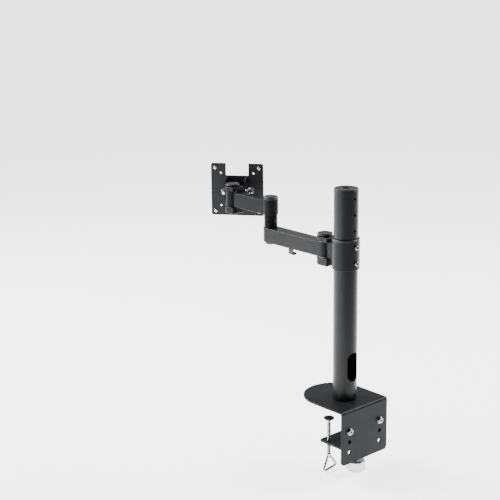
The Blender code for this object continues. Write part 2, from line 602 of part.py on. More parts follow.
def build_lower_arm(carrier):
    """Makes the lower arm with its bush, clip and the elbow's standing bolt and spacers."""
    shoulder = pivot("shoulder_pivot", (0, SHOULDER, 0), carrier)
    reach = ELBOW - SHOULDER
    outline = (arc((0, 0), ARM_HALF_WIDTH, 180, 360, 16)
               + arc((0, reach), ARM_HALF_WIDTH + 0.0012, 0, 180, 16))
    arm = prism("lower_arm", outline, LOWER_ARM_BOTTOM, LOWER_ARM_TOP, "black_cast", shoulder)
    soften(arm, 0.0012)
    clip_along = 0.095
    combine(arm, [hole("lower_arm_bore", 0.0067, 0.29, 0.35, shoulder),
                  hole("lower_arm_elbow_bore", 0.0062, 0.29, 0.35, shoulder, (0, reach, 0)),
                  hole("lower_arm_clip_tap", 0.0018, 0.29, LOWER_ARM_BOTTOM + 0.007, shoulder,
                       (0, clip_along, 0), sides=12)], "DIFFERENCE")
    turned("shoulder_bush", ring(0.0052, 0.0064, LOWER_ARM_BOTTOM + GAP, LOWER_ARM_TOP - GAP), "nylon", shoulder,
           sides=SMALL_ROUND)
    build_clip("lower", shoulder, clip_along, LOWER_ARM_BOTTOM, upward=False)

    elbow = (0, reach, 0)
    turned("elbow_bolt", [(0, 0.2972), (0.0105, 0.2972), (0.012, 0.2987), (0.012, LOWER_ARM_BOTTOM - GAP),
                          (0.0059, LOWER_ARM_BOTTOM - GAP), (0.0059, 0.3990), (0.0054, 0.3995), (0, 0.3995)],
           "zinc", shoulder, elbow, sides=SMALL_ROUND)
    middle = 0.3490
    turned("elbow_spacer_lower", ring(0.0062, 0.0145, LOWER_ARM_TOP + GAP, middle, 0.0005), "black_plastic",
           shoulder, elbow)
    turned("elbow_spacer_upper", ring(0.0062, 0.0145, middle + GAP, ELBOW_BARREL_BOTTOM - GAP, 0.0005),
           "black_plastic", shoulder, elbow)
    hex_nut("elbow_nut", 0.018, 0.0062, ELBOW_BARREL_TOP + GAP, ELBOW_BARREL_TOP + 0.0052, "zinc", shoulder, elbow)
    return shoulder


def build_upper_arm(shoulder):
    """Makes the upper arm with its elbow barrel, its wrist fork and the pieces that ride on it."""
    elbow = pivot("elbow_pivot", (0, ELBOW - SHOULDER, 0), shoulder)
    reach = WRIST - ELBOW
    arm = turned("upper_arm", rod(ELBOW_BARREL_RADIUS, ELBOW_BARREL_BOTTOM, ELBOW_BARREL_TOP, 0.0005),
                 "black_cast", elbow)
    beam = box("upper_arm_beam", (-ARM_HALF_WIDTH, ARM_HALF_WIDTH), (0, reach - 0.021),
               (UPPER_ARM_BOTTOM, UPPER_ARM_TOP), parent=elbow)
    soften(beam, 0.0012)
    wall = box("upper_arm_wall", (-0.009, 0.009), (reach - 0.025, reach - 0.0158),
               (WRIST_EARS[0][0] + 0.003, WRIST_EARS[1][1] - 0.002), parent=elbow)
    ears = []
    for index, (low, high) in enumerate(WRIST_EARS):
        ear = prism(f"upper_arm_ear_{index}", ear_outline(WRIST_EAR_RADIUS, WRIST_EAR_REAR - ELBOW, reach), low, high,
                    parent=elbow)
        soften(ear, 0.0010 if index else 0.0016)
        ears.append(ear)
    combine(arm, [beam, wall] + ears, "UNION")
    clip_along = 0.065
    combine(arm, [hole("upper_arm_elbow_bore", 0.0082, 0.35, 0.41, elbow),
                  stepped_hole("upper_arm_wrist_bore", 0.0080, WRIST_EARS[0][0] + 0.007, 0.0043, elbow,
                               (0, reach, 0)),
                  hole("upper_arm_clip_tap", 0.0018, UPPER_ARM_TOP - 0.007, 0.41, elbow, (0, clip_along, 0),
                       sides=12)], "DIFFERENCE")
    turned("elbow_bush", ring(0.0062, 0.0079, ELBOW_BARREL_BOTTOM + GAP, ELBOW_BARREL_TOP - GAP), "nylon", elbow,
           sides=SMALL_ROUND)
    turned("elbow_cap", [(0, ELBOW_CAP_TOP), (0.0120, ELBOW_CAP_TOP), (0.0140, ELBOW_CAP_TOP - 0.0006),
                         (0.0155, ELBOW_CAP_TOP - 0.0022), (ELBOW_BARREL_RADIUS, ELBOW_CAP_TOP - 0.0040),
                         (ELBOW_BARREL_RADIUS, ELBOW_BARREL_TOP + GAP), (0.0112, ELBOW_BARREL_TOP + GAP),
                         (0.0112, ELBOW_CAP_TOP - 0.0018), (0, ELBOW_CAP_TOP - 0.0018)], "black_plastic", elbow)
    build_clip("upper", elbow, clip_along, UPPER_ARM_TOP, upward=True)

    wrist = (0, reach, 0)
    ear_top = WRIST_EARS[1][1]
    socket_screw("wrist_bolt", 0.0070, 0.0040, 0.0039, ear_top - WRIST_EARS[0][0] - 0.0015, 0.0035, "zinc",
                 elbow, (0, reach, ear_top + GAP))
    turned("wrist_cap", cap_profile(0.0155, ear_top + 0.0020, ear_top + 0.0058, 0.0076, ear_top + 0.0047),
           "black_plastic", elbow, wrist)
    hex_nut("wrist_nut", 0.013, 0.0042, WRIST_EARS[0][0] + 0.0005, WRIST_EARS[0][0] + 0.0067, "zinc", elbow, wrist)
    return elbow


# ---- head --------------------------------------------------------------------------------------------

def build_swivel_block(elbow):
    """Makes the block that turns in the wrist fork and carries the tilt axle."""
    wrist = pivot("wrist_pivot", (0, WRIST - ELBOW, 0), elbow, HEAD_TURN)
    low = WRIST_EARS[0][1] + 0.0004
    high = WRIST_EARS[1][0] - 0.0004
    block = turned("swivel_block", rod(0.0150, low, high, 0.0008), "black_cast", wrist)
    neck = box("swivel_neck", (-0.0088, 0.0088), (0.004, TILT_AXIS), (0.3712, 0.3935), parent=wrist)
    soften(neck, 0.0012)
    barrel = turned("swivel_barrel", rod(TILT_BARREL_RADIUS, -TILT_BARREL_HALF, TILT_BARREL_HALF, 0.0006), None,
                    wrist, (0, TILT_AXIS, TILT_HEIGHT), FACING_RIGHT)
    combine(block, [neck, barrel], "UNION")
    combine(block, [hole("swivel_wrist_bore", 0.0043, 0.35, 0.41, wrist),
                    hole("swivel_tilt_bore", 0.0043, -0.03, 0.03, wrist, (0, TILT_AXIS, TILT_HEIGHT),
                         FACING_RIGHT)], "DIFFERENCE")
    socket_screw("tilt_bolt", 0.0072, 0.0045, 0.0039, 0.0550, 0.0032, "zinc", wrist,
                 (TILT_EAR_OUTER + GAP, TILT_AXIS, TILT_HEIGHT), FACING_RIGHT)
    hex_nut("tilt_nut", 0.013, 0.0042, -TILT_EAR_OUTER - GAP - 0.0060, -TILT_EAR_OUTER - GAP, "zinc", wrist,
            (0, TILT_AXIS, TILT_HEIGHT), FACING_RIGHT)
    return wrist


def build_tilt_bracket(wrist):
    """Makes the U bracket that nods on the tilt axle, with the rotation joint's bolt and disc."""
    tilt = pivot("tilt_pivot", (0, TILT_AXIS, TILT_HEIGHT), wrist)
    outer = TILT_EAR_OUTER
    inner = outer - TILT_EAR_THICKNESS
    web = TILT_WEB_FRONT - TILT_AXIS
    front = TILT_EAR_FRONT - TILT_AXIS
    outline = ([(outer, front)] + arc((outer - 0.004, web - 0.004), 0.004, 0, 90, 4)
               + arc((-outer + 0.004, web - 0.004), 0.004, 90, 180, 4) + [(-outer, front), (-inner, front)]
               + [(-inner, web - TILT_EAR_THICKNESS), (inner, web - TILT_EAR_THICKNESS), (inner, front)])
    bm = prism_mesh(outline, -TILT_HALF_HEIGHT, TILT_HALF_HEIGHT)
    corners = [edge for edge in bm.edges
               if all(abs(vert.co.y - front) < 1e-6 for vert in edge.verts)
               and abs(edge.verts[0].co.z - edge.verts[1].co.z) < 1e-6]
    bmesh.ops.bevel(bm, geom=corners, offset=0.012, segments=4, profile=0.5, affect="EDGES")
    bracket = add_object("tilt_bracket", bm, "black_powder_coat", tilt, (0, 0, 0), (0, 0, 0))
    combine(bracket, [hole("tilt_bracket_axle", 0.0043, -0.03, 0.03, tilt, rotation=FACING_RIGHT),
                      hole("tilt_bracket_bore", 0.0052, 0.0, 0.04, tilt, rotation=FACING_FRONT)], "DIFFERENCE")
    seat = VESA_BACK + VESA_THICKNESS + GAP - TILT_AXIS
    turned("rotation_bolt", [(0, seat + 0.0015), (0.0083, seat + 0.0015), (0.0090, seat + 0.0008), (0.0090, seat),
                             (0.0049, seat), (0.0049, 0.0130), (0, 0.0130)], "zinc", tilt, rotation=FACING_FRONT,
           sides=SMALL_ROUND)
    turned("rotation_disc", ring(0.0052, 0.0180, web + GAP, VESA_BACK - TILT_AXIS - GAP), "nylon", tilt,
           rotation=FACING_FRONT, sides=SMALL_ROUND)
    hex_nut("rotation_nut", 0.0155, 0.0052, web - TILT_EAR_THICKNESS - GAP - 0.0040,
            web - TILT_EAR_THICKNESS - GAP, "zinc", tilt, rotation=FACING_FRONT)
    return tilt


def build_vesa_plate(tilt):
    """Makes the screen's mounting plate and its four screws."""
    turn = pivot("rotation_pivot", (0, 0, 0), tilt)
    back = VESA_BACK - TILT_AXIS
    plate = prism("vesa_plate", rounded_rectangle(-VESA_HALF, VESA_HALF, -VESA_HALF, VESA_HALF, 0.004, 3),
                  back, back + VESA_THICKNESS, "black_powder_coat", turn, rotation=(math.radians(90), 0, math.radians(180)))
    depth = back + VESA_THICKNESS / 2
    notch = box("vesa_notch", (-VESA_NOTCH_HALF, VESA_NOTCH_HALF), (depth - 0.01, depth + 0.01),
                (VESA_HALF - VESA_NOTCH_DEPTH, VESA_HALF + 0.01), parent=turn)
    spots = [(side * reach, level * reach) for reach in (VESA_OUTER_HOLE, VESA_INNER_HOLE)
             for side in (-1, 1) for level in (-1, 1)]
    holes = [hole(f"vesa_hole_{index}", 0.0023, -0.01, 0.01, turn, (across, depth, height), FACING_FRONT, sides=16)
             for index, (across, height) in enumerate(spots)]
    centre = hole("vesa_centre", 0.0052, -0.01, 0.01, turn, (0, depth, 0), FACING_FRONT)
    combine(plate, [notch, centre] + holes, "DIFFERENCE")
    for index, (across, height) in enumerate(spots[:4]):
        socket_screw(f"vesa_screw_{index + 1}", 0.0039, 0.0024, 0.0019, 0.0095, 0.0013, "chrome", turn,
                     (across, back - GAP, height), FACING_REAR)


def main():
    """Builds the whole arm."""
    clear_scene()
    build_desk_plate()
    build_pole()
    build_bracket()
    for side, label in ((-1, "left"), (1, "right")):
        build_side_screw(side, label)
    build_centre_screw()
    carrier = build_collar()
    shoulder = build_lower_arm(carrier)
    elbow = build_upper_arm(shoulder)
    wrist = build_swivel_block(elbow)
    tilt = build_tilt_bracket(wrist)
    build_vesa_plate(tilt)


main()
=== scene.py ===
"""Desk-clamp monitor arm: detailed pieces, finishes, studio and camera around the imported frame."""

import logging
import math
from dataclasses import dataclass
from enum import Enum
from typing import Callable, Sequence

import bmesh
import bpy
from mathutils import Matrix, Vector


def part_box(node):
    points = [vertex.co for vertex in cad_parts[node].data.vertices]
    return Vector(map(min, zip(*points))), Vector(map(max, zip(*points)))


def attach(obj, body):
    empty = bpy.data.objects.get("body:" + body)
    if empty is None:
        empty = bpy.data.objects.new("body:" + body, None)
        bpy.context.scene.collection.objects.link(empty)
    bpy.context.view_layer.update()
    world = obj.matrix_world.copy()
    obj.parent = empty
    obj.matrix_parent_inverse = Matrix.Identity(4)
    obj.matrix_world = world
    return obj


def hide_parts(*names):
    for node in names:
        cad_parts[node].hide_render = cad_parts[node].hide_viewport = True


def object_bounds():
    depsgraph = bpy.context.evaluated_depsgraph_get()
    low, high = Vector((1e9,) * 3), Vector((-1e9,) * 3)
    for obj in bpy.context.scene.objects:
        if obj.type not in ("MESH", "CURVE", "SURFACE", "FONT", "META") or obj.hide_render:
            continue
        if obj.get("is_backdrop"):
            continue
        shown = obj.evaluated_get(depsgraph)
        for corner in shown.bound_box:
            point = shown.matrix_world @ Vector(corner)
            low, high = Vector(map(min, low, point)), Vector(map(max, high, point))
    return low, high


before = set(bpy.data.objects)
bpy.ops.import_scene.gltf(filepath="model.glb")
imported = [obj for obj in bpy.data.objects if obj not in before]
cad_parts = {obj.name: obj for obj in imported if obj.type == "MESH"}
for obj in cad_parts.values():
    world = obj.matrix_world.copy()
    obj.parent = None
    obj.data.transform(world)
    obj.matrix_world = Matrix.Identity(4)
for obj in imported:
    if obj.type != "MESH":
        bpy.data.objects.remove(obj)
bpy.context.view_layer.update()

LOG = logging.getLogger("monitor_arm")

Point = tuple[float, float]
Spot = tuple[float, float, float]
Test = Callable[[Vector], bool]
Piece = bpy.types.Object

FACING_REAR = Matrix.Rotation(math.radians(90), 4, "X")
FACING_FRONT = Matrix.Rotation(math.radians(-90), 4, "X")
FACING_RIGHT = Matrix.Rotation(math.radians(90), 4, "Y")
UNDERSIDE = Matrix.Rotation(math.radians(180), 4, "X")


class Slot(Enum):
    """Material slots that the record names."""

    STEEL = "powder_coated_steel"
    CASTING = "coated_casting"
    PLASTIC = "black_plastic"
    CHROME = "chrome"
    ZINC = "zinc_plated_steel"
    RUBBER = "black_rubber"
    NYLON = "nylon"


class Grain(Enum):
    """How a finish's fine relief lies."""

    ORANGE_PEEL = "orange_peel"
    SPARK = "spark"
    BRUSHED = "brushed"
    CAST = "cast"


# ---- finishes ----------------------------------------------------------------------------------------

@dataclass(frozen=True)
class Finish:
    """One surface finish, built as a procedural material."""

    name: str
    slot: Slot
    light: tuple[float, float, float]
    dark: tuple[float, float, float]
    roughness: tuple[float, float]
    metallic: float = 0.0
    specular: float = 0.5
    coat: float = 0.0
    grain: Grain = Grain.ORANGE_PEEL
    grain_scale: float = 900.0
    grain_depth: float = 0.00003
    grain_strength: float = 0.25
    mottle_scale: float = 14.0
    stretch: Spot = (1.0, 1.0, 1.0)

    def material(self) -> bpy.types.Material:
        """Returns the finish's material, made on first use."""
        made = bpy.data.materials.get(self.name)
        if made is not None:
            return made
        made = bpy.data.materials.new(self.name)
        made.use_nodes = True
        tree = made.node_tree
        shader = tree.nodes["Principled BSDF"]
        shader.inputs["Metallic"].default_value = self.metallic
        shader.inputs["Specular IOR Level"].default_value = self.specular
        shader.inputs["Coat Weight"].default_value = self.coat
        shader.inputs["Coat Roughness"].default_value = 0.25
        place = self.place(tree)
        self.paint(tree, shader, place)
        self.relief(tree, shader, place)
        return made

    def place(self, tree: bpy.types.NodeTree) -> bpy.types.NodeSocket:
        """Adds the pattern's coordinates.

        Args:
            tree: Node tree of the material.

        Returns:
            The stretched object coordinates.
        """
        coordinates = tree.nodes.new("ShaderNodeTexCoord")
        mapping = tree.nodes.new("ShaderNodeMapping")
        mapping.inputs["Scale"].default_value = self.stretch
        tree.links.new(coordinates.outputs["Object"], mapping.inputs["Vector"])
        return mapping.outputs["Vector"]

    @staticmethod
    def noise(tree: bpy.types.NodeTree, place: bpy.types.NodeSocket, scale: float, detail: float,
              roughness: float = 0.5) -> bpy.types.NodeSocket:
        """Adds a noise pattern.

        Args:
            tree: Node tree of the material.
            place: Coordinates the pattern reads.
            scale: Repeats in each metre.
            detail: Octaves.
            roughness: Weight of the finer octaves.

        Returns:
            The pattern's value.
        """
        pattern = tree.nodes.new("ShaderNodeTexNoise")
        pattern.inputs["Scale"].default_value = scale
        pattern.inputs["Detail"].default_value = detail
        pattern.inputs["Roughness"].default_value = roughness
        tree.links.new(place, pattern.inputs["Vector"])
        return pattern.outputs["Fac"]

    @staticmethod
    def spread(tree: bpy.types.NodeTree, value: bpy.types.NodeSocket, source: Point,
               target: Point) -> bpy.types.NodeSocket:
        """Maps a value from one range onto another.

        Args:
            tree: Node tree of the material.
            value: Value to map.
            source: Lowest and highest input.
            target: Outputs at those inputs.

        Returns:
            The mapped value.
        """
        node = tree.nodes.new("ShaderNodeMapRange")
        node.inputs["From Min"].default_value, node.inputs["From Max"].default_value = source
        node.inputs["To Min"].default_value, node.inputs["To Max"].default_value = target
        tree.links.new(value, node.inputs["Value"])
        return node.outputs["Result"]

    def paint(self, tree: bpy.types.NodeTree, shader: bpy.types.Node, place: bpy.types.NodeSocket) -> None:
        """Colours the surface, with faint handling marks and grain in its gloss.

        Args:
            tree: Node tree of the material.
            shader: Principled shader to feed.
            place: Coordinates the patterns read.
        """
        clouds = self.noise(tree, place, self.mottle_scale, 3.0, 0.55)
        specks = self.noise(tree, place, self.grain_scale * 0.6, 2.0, 0.6)
        blend = tree.nodes.new("ShaderNodeMath")
        blend.operation = "MULTIPLY_ADD"
        blend.inputs[1].default_value = 0.45
        tree.links.new(specks, blend.inputs[0])
        tree.links.new(self.spread(tree, clouds, (0.30, 0.70), (0.0, 0.55)), blend.inputs[2])
        ramp = tree.nodes.new("ShaderNodeValToRGB")
        ramp.color_ramp.elements[0].position = 0.18
        ramp.color_ramp.elements[0].color = (*self.dark, 1.0)
        ramp.color_ramp.elements[1].position = 0.82
        ramp.color_ramp.elements[1].color = (*self.light, 1.0)
        tree.links.new(blend.outputs[0], ramp.inputs["Fac"])
        tree.links.new(ramp.outputs["Color"], shader.inputs["Base Color"])
        marks = self.noise(tree, place, self.mottle_scale * 2.6, 5.0, 0.62)
        tree.links.new(self.spread(tree, marks, (0.32, 0.68), self.roughness), shader.inputs["Roughness"])

    def relief(self, tree: bpy.types.NodeTree, shader: bpy.types.Node, place: bpy.types.NodeSocket) -> None:
        """Raises the finish's fine grain.

        Args:
            tree: Node tree of the material.
            shader: Principled shader to feed.
            place: Coordinates the pattern reads.
        """
        if self.grain is Grain.SPARK:
            cells = tree.nodes.new("ShaderNodeTexVoronoi")
            cells.inputs["Scale"].default_value = self.grain_scale
            tree.links.new(place, cells.inputs["Vector"])
            height = cells.outputs["Distance"]
        elif self.grain is Grain.CAST:
            coarse = self.noise(tree, place, self.grain_scale * 0.22, 4.0, 0.6)
            fine = self.noise(tree, place, self.grain_scale, 2.0, 0.5)
            mix = tree.nodes.new("ShaderNodeMath")
            mix.operation = "ADD"
            tree.links.new(coarse, mix.inputs[0])
            tree.links.new(fine, mix.inputs[1])
            height = mix.outputs[0]
        else:
            height = self.noise(tree, place, self.grain_scale,
                                2.0 if self.grain is Grain.ORANGE_PEEL else 6.0)
        bump = tree.nodes.new("ShaderNodeBump")
        bump.inputs["Strength"].default_value = self.grain_strength
        bump.inputs["Distance"].default_value = self.grain_depth
        tree.links.new(height, bump.inputs["Height"])
        tree.links.new(bump.outputs["Normal"], shader.inputs["Normal"])


POWDER_COAT = Finish("powder_coat", Slot.STEEL, light=(0.010, 0.011, 0.012), dark=(0.006, 0.007, 0.008),
                     roughness=(0.38, 0.48), specular=0.11, grain_scale=1100.0, grain_depth=0.00006,
                     grain_strength=0.55)
SHEET_COAT = Finish("sheet_coat", Slot.STEEL, light=(0.026, 0.027, 0.029), dark=(0.016, 0.017, 0.018),
                    roughness=(0.36, 0.46), specular=0.16, grain_scale=1100.0, grain_depth=0.00006,
                    grain_strength=0.55)
POLE_COAT = Finish("pole_coat", Slot.STEEL, light=(0.008, 0.009, 0.010), dark=(0.005, 0.006, 0.007),
                   roughness=(0.32, 0.40), specular=0.25, grain_scale=1200.0, grain_depth=0.00005,
                   grain_strength=0.45)
CAST_COAT = Finish("cast_coat", Slot.CASTING, light=(0.013, 0.014, 0.016), dark=(0.008, 0.009, 0.010),
                   roughness=(0.28, 0.38), specular=0.16, grain=Grain.CAST, grain_scale=1000.0,
                   grain_depth=0.00007, grain_strength=0.5)
# A darker, less glossy copy of the cast coat: painted shade on the upper arm and swivel block, which are cast
# like the lower arm.
SHADED_CAST_COAT = Finish("shaded_cast_coat", Slot.CASTING, light=(0.010, 0.011, 0.012), dark=(0.006, 0.007, 0.008),
                   roughness=(0.28, 0.38), specular=0.08, grain=Grain.CAST, grain_scale=1000.0,
                   grain_depth=0.00007, grain_strength=0.5)
GLOSS_PLASTIC = Finish("gloss_plastic", Slot.PLASTIC, light=(0.009, 0.009, 0.010),
                       dark=(0.005, 0.005, 0.006), roughness=(0.20, 0.28), specular=0.06, grain=Grain.SPARK,
                       grain_scale=2600.0, grain_depth=0.00002, grain_strength=0.2)
MOULDED_PLASTIC = Finish("moulded_plastic", Slot.PLASTIC, light=(0.016, 0.016, 0.018),
                         dark=(0.009, 0.009, 0.010), roughness=(0.40, 0.52), specular=0.34,
                         grain=Grain.SPARK, grain_scale=2200.0, grain_depth=0.00005, grain_strength=0.35)
SATIN_PLASTIC = Finish("satin_plastic", Slot.PLASTIC, light=(0.020, 0.021, 0.022),
                       dark=(0.012, 0.012, 0.013), roughness=(0.28, 0.38), specular=0.4, grain=Grain.SPARK,
                       grain_scale=2600.0, grain_depth=0.00003, grain_strength=0.3)
POLISHED_CHROME = Finish("polished_chrome", Slot.CHROME, light=(0.86, 0.87, 0.88), dark=(0.74, 0.75, 0.77),
                         roughness=(0.07, 0.17), metallic=1.0, grain_scale=500.0, grain_depth=0.00001,
                         grain_strength=0.15, mottle_scale=40.0)
KNOB_METAL = Finish("knob_metal", Slot.CHROME, light=(0.66, 0.67, 0.69), dark=(0.44, 0.45, 0.47),
                    roughness=(0.10, 0.22), metallic=1.0, grain=Grain.BRUSHED, grain_scale=600.0,
                    grain_depth=0.00001, grain_strength=0.2, mottle_scale=40.0, stretch=(1.0, 1.0, 6.0))
# Chrome with its colour darkened: painted shade, a dark reflection painted into the handle wires, collar
# screws and bracket bolts.
SHADE_DARKENED_CHROME = Finish("shade_darkened_chrome", Slot.CHROME, light=(0.36, 0.37, 0.39), dark=(0.20, 0.21, 0.23),
                     roughness=(0.05, 0.13), metallic=1.0, grain_scale=500.0, grain_depth=0.00001,
                     grain_strength=0.15, mottle_scale=90.0)
ROLLED_THREAD = Finish("rolled_thread", Slot.CHROME, light=(0.44, 0.46, 0.48), dark=(0.20, 0.21, 0.23),
                       roughness=(0.12, 0.24), metallic=1.0, grain=Grain.BRUSHED, grain_scale=900.0,
                       grain_depth=0.00002, grain_strength=0.3, mottle_scale=60.0)
ZINC_PLATE = Finish("zinc_plate", Slot.ZINC, light=(0.62, 0.63, 0.64), dark=(0.42, 0.43, 0.45),
                    roughness=(0.24, 0.38), metallic=1.0, grain=Grain.BRUSHED, grain_scale=700.0,
                    grain_depth=0.00003, grain_strength=0.35, mottle_scale=50.0, stretch=(1.0, 1.0, 4.0))
PAD_RUBBER = Finish("pad_rubber", Slot.RUBBER, light=(0.020, 0.020, 0.020), dark=(0.011, 0.011, 0.011),
                    roughness=(0.70, 0.86), specular=0.3, grain=Grain.CAST, grain_scale=1600.0,
                    grain_depth=0.00008, grain_strength=0.6)
BUSH_NYLON = Finish("bush_nylon", Slot.NYLON, light=(0.66, 0.65, 0.61), dark=(0.56, 0.55, 0.51),
                    roughness=(0.34, 0.46), grain=Grain.SPARK, grain_scale=1800.0, grain_depth=0.00003,
                    grain_strength=0.3)


# ---- modelling ---------------------------------------------------------------------------------------

def rounded(points: Sequence[tuple[float, ...]], closed: bool = False, steps: int = 4) -> list[Point]:
    """Rounds the corners of a profile.

    Args:
        points: Corners as (across, along), with a third number for a corner that is rounded to that radius.
        closed: Whether the last corner joins the first.
        steps: Facets in each rounded corner.

    Returns:
        The profile's points.
    """
    out: list[Point] = []
    count = len(points)
    for index, point in enumerate(points):
        here = Vector(point[:2])
        radius = point[2] if len(point) > 2 else 0.0
        ends = not closed and index in (0, count - 1)
        if radius <= 0 or ends:
            out.append((here.x, here.y))
            continue
        before = (Vector(points[index - 1][:2]) - here).normalized()
        after = (Vector(points[(index + 1) % count][:2]) - here).normalized()
        half = before.angle(after) / 2
        reach = radius / math.tan(half)
        start, end = here + before * reach, here + after * reach
        centre = here + (before + after).normalized() * (radius / math.sin(half))
        arm, other = start - centre, end - centre
        sweep = math.atan2(arm.x * other.y - arm.y * other.x, arm.dot(other))
        for step in range(steps + 1):
            turn = sweep * step / steps
            cos, sin = math.cos(turn), math.sin(turn)
            out.append((centre.x + arm.x * cos - arm.y * sin, centre.y + arm.x * sin + arm.y * cos))
    return out


class Bench:
    """Modelling moves, each made with the operators a modeller uses."""

    @staticmethod
    def clear() -> None:
        """Leaves nothing selected, in object mode."""
        if bpy.context.object and bpy.context.object.mode != "OBJECT":
            bpy.ops.object.mode_set(mode="OBJECT")
        bpy.ops.object.select_all(action="DESELECT")

    @staticmethod
    def take(piece: Piece) -> None:
        """Makes one piece the active selection."""
        Bench.clear()
        piece.select_set(True)
        bpy.context.view_layer.objects.active = piece

    @staticmethod
    def pick(kind: str, test: Test) -> None:
        """Selects faces, edges or vertices in edit mode.

        Args:
            kind: "FACE", "EDGE" or "VERT".
            test: Says of a face's or edge's middle, or a vertex, whether it is selected.
        """
        bpy.ops.mesh.select_mode(type="VERT" if kind == "VERT" else kind)
        bpy.ops.mesh.select_all(action="DESELECT")
        data = bpy.context.object.data
        mesh = bmesh.from_edit_mesh(data)
        if kind == "FACE":
            chosen = [face for face in mesh.faces if test(face.calc_center_median())]
        elif kind == "EDGE":
            chosen = [edge for edge in mesh.edges if test((edge.verts[0].co + edge.verts[1].co) / 2)]
        else:
            chosen = [vert for vert in mesh.verts if test(vert.co)]
        for part in chosen:
            part.select_set(True)
        mesh.select_flush_mode()
        bmesh.update_edit_mesh(data)

    @staticmethod
    def push(offset: Spot) -> None:
        """Extrudes the selection by an offset."""
        bpy.ops.mesh.extrude_region_move(TRANSFORM_OT_translate={"value": offset})

    @staticmethod
    def scale(factors: Spot, centre: Spot) -> None:
        """Scales the selection about a centre."""
        bpy.ops.transform.resize(value=factors, center_override=centre)

    @staticmethod
    def swing(angle: float, axis: str, centre: Spot) -> None:
        """Turns the selection about an axis through a centre, by the right-hand rule."""
        bpy.ops.transform.rotate(value=-angle, orient_axis=axis, orient_type="GLOBAL", center_override=centre)

    @staticmethod
    def fold(angle: float, axis: str, centre: Spot, steps: int) -> None:
        """Extrudes the selection round a bend.

        Args:
            angle: Angle of the whole bend.
            axis: Axis that the bend turns about.
            centre: Centre of the bend.
            steps: Facets in the bend.
        """
        for _ in range(steps):
            Bench.push((0.0, 0.0, 0.0))
            Bench.swing(angle / steps, axis, centre)

    @staticmethod
    def close(piece: Piece) -> None:
        """Merges doubles, points faces outwards and leaves edit mode."""
        bpy.ops.mesh.select_all(action="SELECT")
        bpy.ops.mesh.remove_doubles(threshold=2e-6)
        bpy.ops.mesh.select_all(action="SELECT")
        bpy.ops.mesh.normals_make_consistent(inside=False)
        bpy.ops.object.mode_set(mode="OBJECT")
        Bench.settle(piece)

    @staticmethod
    def settle(piece: Piece, place: Matrix | None = None) -> None:
        """Moves a piece to its place and leaves its origin at the frame's origin.

        Args:
            piece: Piece to settle.
            place: Transform from the piece's own frame to the object's frame.
        """
        Bench.take(piece)
        if place is not None:
            piece.matrix_world = place @ piece.matrix_world
        bpy.ops.object.transform_apply(location=True, rotation=True, scale=True)

    @staticmethod
    def turned(name: str, profile: Sequence[Point], sides: int = 96, ring: bool = False) -> Piece:
        """Draws up a turned piece from a circle, one profile point at a time.

        Args:
            name: Piece's name.
            profile: (radius, height) points. A ring's profile closes on itself, and any other piece is
                closed by flat ends.
            sides: Facets round the piece.
            ring: Whether the profile closes on itself.

        Returns:
            The new piece, upright on Z.
        """
        Bench.clear()
        radius, height = profile[0]
        bpy.ops.mesh.primitive_circle_add(vertices=sides, radius=radius, location=(0, 0, height),
                                          fill_type="NOTHING" if ring else "NGON")
        piece = bpy.context.object
        piece.name = name
        bpy.ops.object.mode_set(mode="EDIT")
        bpy.ops.mesh.select_mode(type="EDGE" if ring else "FACE")
        bpy.ops.mesh.select_all(action="SELECT")
        path = list(profile[1:]) + ([profile[0]] if ring else [])
        for next_radius, next_height in path:
            Bench.push((0.0, 0.0, next_height - height))
            if abs(next_radius - radius) > 1e-9:
                ratio = next_radius / radius
                Bench.scale((ratio, ratio, 1.0), (0.0, 0.0, next_height))
            radius, height = next_radius, next_height
        Bench.close(piece)
        return piece

    @staticmethod
    def lofted(name: str, radius: float, low: float, high: float, centre: float = 0.0,
               reach: float | None = None,
               rear: float | None = None, sides: int = 96) -> Piece:
        """Raises a slab with a round plan, a round-ended one, or one with a round and a square end.

        Args:
            name: Piece's name.
            radius: Radius of the round end, half the bar's width.
            low: Height of the underside.
            high: Height of the top.
            centre: Place along Y of the round end's centre.
            reach: Place along Y of a second round end's centre.
            rear: Place along Y of a square end.
            sides: Facets of the whole circle.

        Returns:
            The new piece.
        """
        Bench.clear()
        bpy.ops.mesh.primitive_circle_add(vertices=sides, radius=radius, location=(0, centre, low),
                                          fill_type="NGON")
        piece = bpy.context.object
        piece.name = name
        bpy.ops.object.mode_set(mode="EDIT")
        if reach is not None:
            forward = reach > centre
            Bench.pick("VERT", lambda at: (at.y > 1e-6) if forward else (at.y < -1e-6))
            bpy.ops.transform.translate(value=(0.0, reach - centre, 0.0))
            Bench.pick("VERT", lambda at: abs(at.y) < 1e-6)
        if rear is not None:
            Bench.pick("VERT", lambda at: at.y < -1e-6)
            Bench.scale((1.0, 0.0, 1.0), (0.0, centre, low))
            bpy.ops.transform.translate(value=(0.0, rear - centre, 0.0))
            edge = rear - centre
            outermost = radius * math.cos(2 * math.pi / sides) - 1e-6
            Bench.pick("VERT", lambda at: abs(at.y - edge) < 1e-6 and abs(at.x) < outermost)
            bpy.ops.mesh.dissolve_verts()
            Bench.pick("VERT", lambda at: abs(at.y - edge) < 1e-6)
            widest = max(abs(vert.co.x) for vert in bmesh.from_edit_mesh(piece.data).verts if vert.select)
            Bench.scale((radius / widest, 1.0, 1.0), (0.0, rear, low))
        bpy.ops.mesh.select_mode(type="FACE")
        bpy.ops.mesh.select_all(action="SELECT")
        Bench.push((0.0, 0.0, high - low))
        Bench.close(piece)
        return piece

